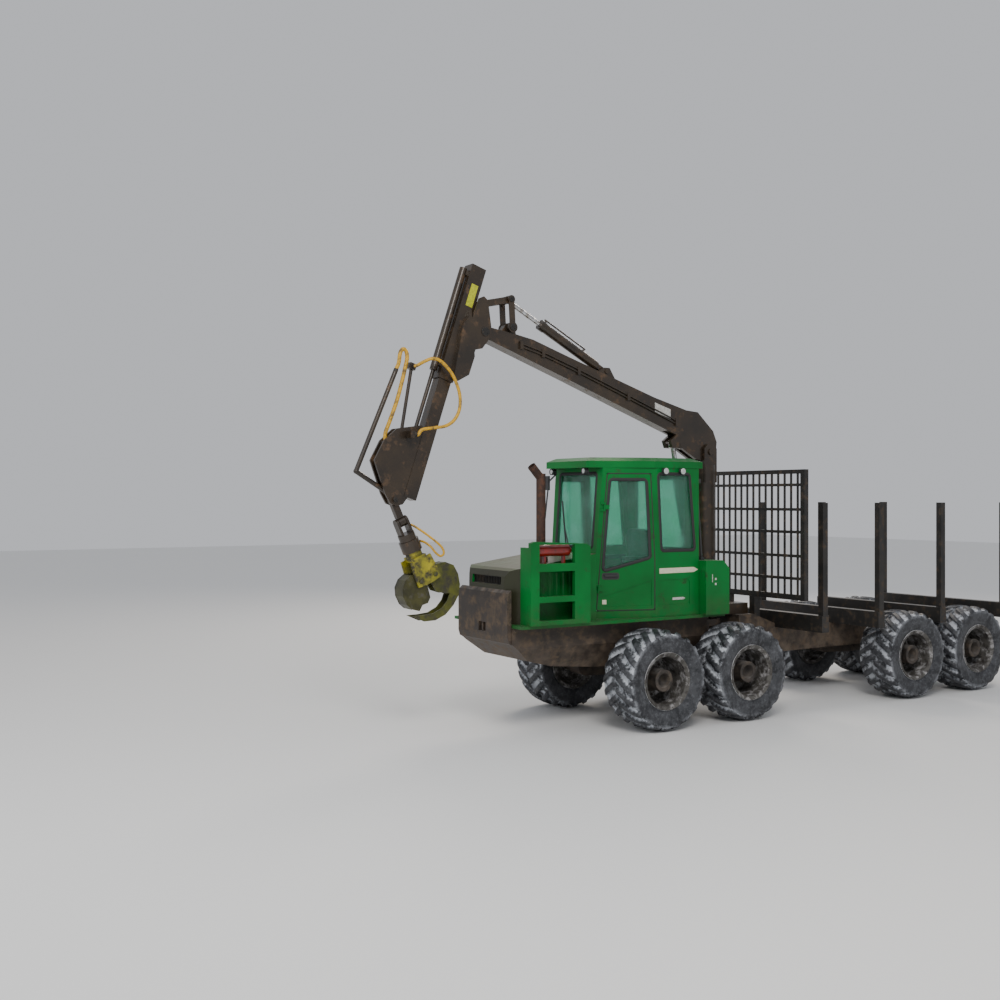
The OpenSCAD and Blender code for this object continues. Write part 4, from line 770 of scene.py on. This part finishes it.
def cushion(name, centre, half, lean, channels, look):
    # Superellipsoid: each direction is half * sign(c) |c|^p, swollen in the middle, channels sewn on top.
    n, m = look["around"], look["rows"]
    u = np.linspace(-np.pi, np.pi, n, endpoint=False)[:, None]
    v = np.linspace(-np.pi / 2 + look["pole"], np.pi / 2 - look["pole"], m)[None]
    power = lambda c: np.sign(c) * np.abs(c) ** look["power"]
    x = half[0] * power(np.cos(v)) * power(np.cos(u))
    y = half[1] * power(np.cos(v)) * power(np.sin(u))
    z = half[2] * power(np.sin(v)) + 0 * u
    swell = (1 - (x / half[0]) ** 2) * (1 - (y / half[1]) ** 2)
    z = z * (1 - look["crown"]) + np.sign(z) * look["crown"] * half[2] * swell
    for at in channels:
        z = z - np.where(z > 0, look["channelDeep"] * np.exp(-((y - at) / look["channelHalf"]) ** 2), 0)
    c, s = math.cos(lean), math.sin(lean)
    pts = np.stack([x * c - z * s, y, x * s + z * c], -1) + np.asarray(centre)
    faces = gridFaces(n, m, closeU=True).tolist()
    faces += [[i * m for i in range(n)][::-1], [i * m + m - 1 for i in range(n)]]
    piece = outward(addMesh(name, pts, faces, "front", "seat cloth", materials["seatCloth"]))
    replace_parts(piece, "seat")


# Heights are above the cab's floor, and places ahead of the seat's middle
seatLook = dict(x=-0.350, floor=1.5003,
                base=dict(up=0.460, half=(0.260, 0.260, 0.060), channels=(-0.11, 0.11)),
                back=dict(ahead=-0.240, up=0.815, half=(0.318, 0.240, 0.055), lean=-98,
                          channels=(-0.10, 0.10)),
                pedestal=[(0, axisR), (0, 0.110), (0.03, 0.110), (0.06, 0.085), (0.34, 0.085), (0.37, 0.110),
                          (0.400, 0.110), (0.400, axisR)], pedestalSides=32,
                postX=-0.150, post=[(0.275, 0.452), (0.278, 0.60), (0.290, 0.690)], postR=0.022, postRings=10,
                postSides=12, armX=(-0.180, 0.300), armZ=(0.700, 0.760), armY=(0.250, 0.340), armR=0.025,
                armSteps=5,
                lever=[(0, axisR), (0, 0.016), (0.12, 0.012), (0.13, 0.020), (0.150, 0.026), (0.170, 0.020),
                       (0.176, axisR)], leverAt=(0.240, 0.295, 0.7602), leverSides=20, bevel=0.003)


def makeSeat(look):
    x, z = axleX + look["x"], look["floor"]
    base, back = look["base"], look["back"]
    cushion("seat_cushion", (x, 0, z + base["up"]), base["half"], 0.0, base["channels"], cushionLook)
    cushion("seat_back", (x + back["ahead"], 0, z + back["up"]), back["half"], math.radians(back["lean"]),
            back["channels"], cushionLook)
    parts = [turned(look["pedestal"], (x, 0, z), upwards, look["pedestalSides"])]
    (rear, fore), (under, over) = look["armX"], look["armZ"]
    arm = rounded([(x + rear, z + under), (x + rear, z + over), (x + fore, z + over), (x + fore, z + under)],
                  look["armR"], look["armSteps"])
    for side in (1, -1):
        post = [(x + look["postX"], side * y, z + up) for y, up in look["post"]]
        parts.append(tube(spline(post, look["postRings"]), look["postR"], look["postSides"], (0, 1, 0)))
        low, high = sorted(side * y for y in look["armY"])
        parts.append(prism(arm, low, high, lambda a, c, d: np.stack([a, d, c], -1)))
        ahead, apart, up = look["leverAt"]
        parts.append(turned(look["lever"], (x + ahead, side * apart, z + up), upwards, look["leverSides"]))
    piece = addMesh("seat_frame", *joinParts(parts), "front", "seat cloth", materials["blackPlastic"])
    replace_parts(bevelled(outward(piece), look["bevel"]), "seat")


makeSeat(seatLook)
print("stage: cab trim made")


# Crane hoses: smooth runs through the points that the CAD hoses take, drawn in millimetres

hoseLook = dict(sides=14, ringsPerSpan=12, firstSide=(0.6, 0.7, -0.4), ferruleSides=20)
tipPin = (3360, 3050)
tipLean = math.radians(24)


def carried(path, radius, sides):
    # A round section moved along a path without twisting: each ring's side is the last one made square
    # to the new heading.
    path = np.asarray(path, float)
    along = unit(np.gradient(path, axis=0))
    side = unit(np.cross(along[0], hoseLook["firstSide"]))
    a = np.linspace(0, 2 * np.pi, sides, endpoint=False)[:, None]
    rings = []
    for point, t in zip(path, along):
        side = unit(side - t * np.dot(side, t))
        rings.append(point + radius * (np.cos(a) * side + np.sin(a) * np.cross(t, side)))
    return np.vstack(rings), gridFaces(len(path), sides, closeV=True).tolist() + endCaps(len(path), sides)


def fromDraft(points):
    return np.asarray(points, float) / 1000 + np.array([axleX, 0, 0])


def fromHang(points):
    # Places in the hanging grapple's own frame, turned by its lean about the tip pin.
    p = np.asarray(points, float)
    c, s = math.cos(tipLean), math.sin(tipLean)
    return fromDraft(np.stack([tipPin[0] + p[:, 0] * c + p[:, 2] * s, p[:, 1],
                               tipPin[1] - p[:, 0] * s + p[:, 2] * c], -1))


guardFoot = np.array([3857.0, 0, 3400])
guardHead = np.array([3318.0, 0, 4653])
guardUp = unit(guardHead - guardFoot)
guardTop = guardHead + 0.3 * guardUp
clampEnd = np.array([3075.0, 44.3, 4735])
loopEnd = np.array([3149.7, 196, 3865])
strandFoot = np.array([3458.0, 0, 3788.3])
archRun = [guardTop, guardTop + 65 * guardUp, guardTop + 130 * guardUp, (3243, 0, 4905), (3200, 0, 4950),
           (3158, 0, 4915), (3150, 0, 4830), (3178, 0, 4710), (3215, 0, 4560), (3295, 0, 4290),
           (3395, 0, 4030), strandFoot + (-12, 0, 120), strandFoot + (0, 0, 60), strandFoot + (0, 0, 30),
           strandFoot]
loopRun = [clampEnd, clampEnd + (0, 14, 0), clampEnd + (0, 28, 0), (3050, 100, 4745), (2985, 155, 4790),
           (2880, 196, 4830), (2750, 196, 4790), (2600, 196, 4640), (2500, 196, 4420), (2495, 196, 4220),
           (2570, 196, 4070), (2700, 196, 3985), (2880, 196, 3955), (3040, 196, 3925), loopEnd - (60, 0, 0),
           loopEnd - (30, 0, 0), loopEnd]
tipRun = [(-85.3, 0, -400), (-95, 0, -400), (-105, 0, -400), (-128, 8, -412), (-190, 70, -520),
          (-280, 140, -700), (-330, 152, -820), (-318, 154, -895), (-262, 154, -900), (-218, 150, -830),
          (-195, 130, -735), (-170, 60, -665), (-153, 6, -645), (-146, 0, -640), (-138, 0, -640),
          (-130.3, 0, -640)]
# Hoses: (word, points, radius, body, CAD node)
hoseRuns = [("arch", fromDraft(archRun), 0.0255, "telescope", "hoses"),
            ("loop", fromDraft(loopRun), 0.0215, "telescope", "hoses"),
            ("tip", fromHang(tipRun), 0.0147, "tip_yoke", "tip_hose")]


def makeHose(word, points, r, body, node):
    sides = hoseLook["sides"]
    path = spline(points, hoseLook["ringsPerSpan"] * (len(points) - 1))
    piece = addMesh(f"hose_{word}", *carried(path, r, sides), body, "hose rubber", materials["hoseSleeve"])
    layer = piece.data.uv_layers.new(name="length")
    reach = np.concatenate([[0], np.cumsum(np.linalg.norm(np.diff(path, axis=0), axis=1))])
    loops = np.empty(len(piece.data.loops), int)
    piece.data.loops.foreach_get("vertex_index", loops)
    layer.data.foreach_set("uv", np.stack([reach[loops // sides], (loops % sides) / sides], -1).reshape(-1))
    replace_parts(outward(piece), node)
    # A crimped ferrule at each end: a short collar, its body and a taper onto the hose
    ferrule = [(0.0008, axisR), (0.0008, r * 1.12), (0.006, r * 1.18), (r * 1.6, r * 1.18),
               (r * 1.7, r * 1.05), (r * 1.7, r * 0.98)]
    ends = [turned(ferrule, path[end], unit(path[end + 3 * step] - path[end]), hoseLook["ferruleSides"])
            for end, step in ((0, 1), (-1, -1))]
    addMesh(f"ferrules_{word}", *joinParts(ends), body, "hose rubber", materials["darkSteel"])


for run in hoseRuns:
    makeHose(*run)
print("stage: hoses made")


# Pin heads with two keeper bolts each at the crane's joints: (x, z, outer face, radius, body)
pinHeads = [(2.090, 5.230, 0.166, 0.058, "dipper"), (1.640, 5.330, 0.130, 0.044, "lever"),
            (1.660, 5.700, 0.130, 0.038, "lever"), (3.360, 3.050, 0.098, 0.032, "tip_link")]
pinLook = dict(edge=0.008, top=0.011, chamfer=0.004, sides=32, boltRing=0.55, boltAngles=(0.6, 3.74),
               bolt=[(0, axisR), (0, 0.008), (0.006, 0.008), (0.007, 0.006), (0.007, axisR)], boltSides=6)


def makePinHeads(heads, look):
    top = look["top"]
    for k, (x, z, face, r, body) in enumerate(heads):
        head = [(0, axisR), (0, r), (look["edge"], r), (top, r - look["chamfer"]), (top, axisR)]
        parts = []
        for side in (1, -1):
            parts.append(turned(head, (axleX + x, side * (face + hairGap), z), (0, side, 0), look["sides"]))
            for angle in look["boltAngles"]:
                ring = look["boltRing"] * r
                spot = (axleX + x + ring * math.cos(angle), side * (face + hairGap + top),
                        z + ring * math.sin(angle))
                parts.append(turned(look["bolt"], spot, (0, side, 0), look["boltSides"]))
        outward(addMesh(f"pin_heads_{k + 1}", *joinParts(parts), body, "boom paint",
                        materials["darkSteel"], False))


makePinHeads(pinHeads, pinLook)


# Hood: slanted louvres on each side, each section given as (ahead, proud)
louvreLook = dict(first=1.02, pitch=0.105, count=7, low=1.80, high=2.10, half=0.635,
                  section=[(0, hairGap), (0.012, 0.010), (0.055, 0.010), (0.075, hairGap)])


def makeLouvres(look):
    for side, word in bothSides:
        parts = []
        for k in range(look["count"]):
            x = axleX + look["first"] + k * look["pitch"]
            outline = [(x + ahead, proud) for ahead, proud in look["section"]]
            parts.append(prism(outline, look["low"], look["high"],
                               lambda a, d, z: np.stack([a, side * (look["half"] + d), z], -1)))
        outward(addMesh(f"louvres_{word}", *joinParts(parts), "front", "green paint", materials["greenPaint"],
                        False))


makeLouvres(louvreLook)
print("stage: crane and hood details made")


# Studio

floorLook = dict(half=60.0, drop=0.002, colour=(0.80, 0.80, 0.79), rough=0.9)


def makeStage(look):
    g = np.array([-look["half"], look["half"]])
    x, y = np.meshgrid(g, g, indexing="ij")
    mesh = bpy.data.meshes.new("floor")
    mesh.from_pydata(np.stack([x, y, 0 * x - look["drop"]], -1).reshape(-1, 3).tolist(), [],
                     gridFaces(2, 2).tolist())
    floor = bpy.data.objects.new("floor", mesh)
    bpy.context.scene.collection.objects.link(floor)
    mat, tree, shader, coord = startMaterial("paleFloor")
    shader.inputs["Base Color"].default_value = (*look["colour"], 1)
    shader.inputs["Roughness"].default_value = look["rough"]
    mesh.materials.append(mat)


# Area lamps: (name, place, power, size, colour), all turned towards aim
lightLook = dict(worldColour=(0.93, 0.95, 1.0), worldStrength=0.62, aim=(0.5, 0, 1.8),
                 lamps=[("key", (9, 12, 13), 1500, 6.0, (1.0, 0.97, 0.93)),
                        ("fill", (16, 2, 7), 350, 8.0, (0.93, 0.96, 1.0)),
                        ("back", (-9, -12, 12), 1300, 6.0, (1.0, 0.90, 0.78))])


def makeLights(look):
    world = bpy.data.worlds.new("studio")
    world.use_nodes = True
    back = world.node_tree.nodes["Background"]
    back.inputs["Color"].default_value = (*look["worldColour"], 1)
    back.inputs["Strength"].default_value = look["worldStrength"]
    bpy.context.scene.world = world
    for name, place, power, size, colour in look["lamps"]:
        data = bpy.data.lights.new(name, "AREA")
        data.energy = power
        data.size = size
        data.color = colour
        light = bpy.data.objects.new(name, data)
        light.location = place
        aim = np.array(look["aim"]) - np.array(place)
        light.rotation_euler = (math.atan2(math.hypot(aim[0], aim[1]), -aim[2]), 0,
                                math.atan2(aim[1], aim[0]) - math.pi / 2)
        bpy.context.scene.collection.objects.link(light)


makeStage(floorLook)
makeLights(lightLook)
print("stage: studio set")
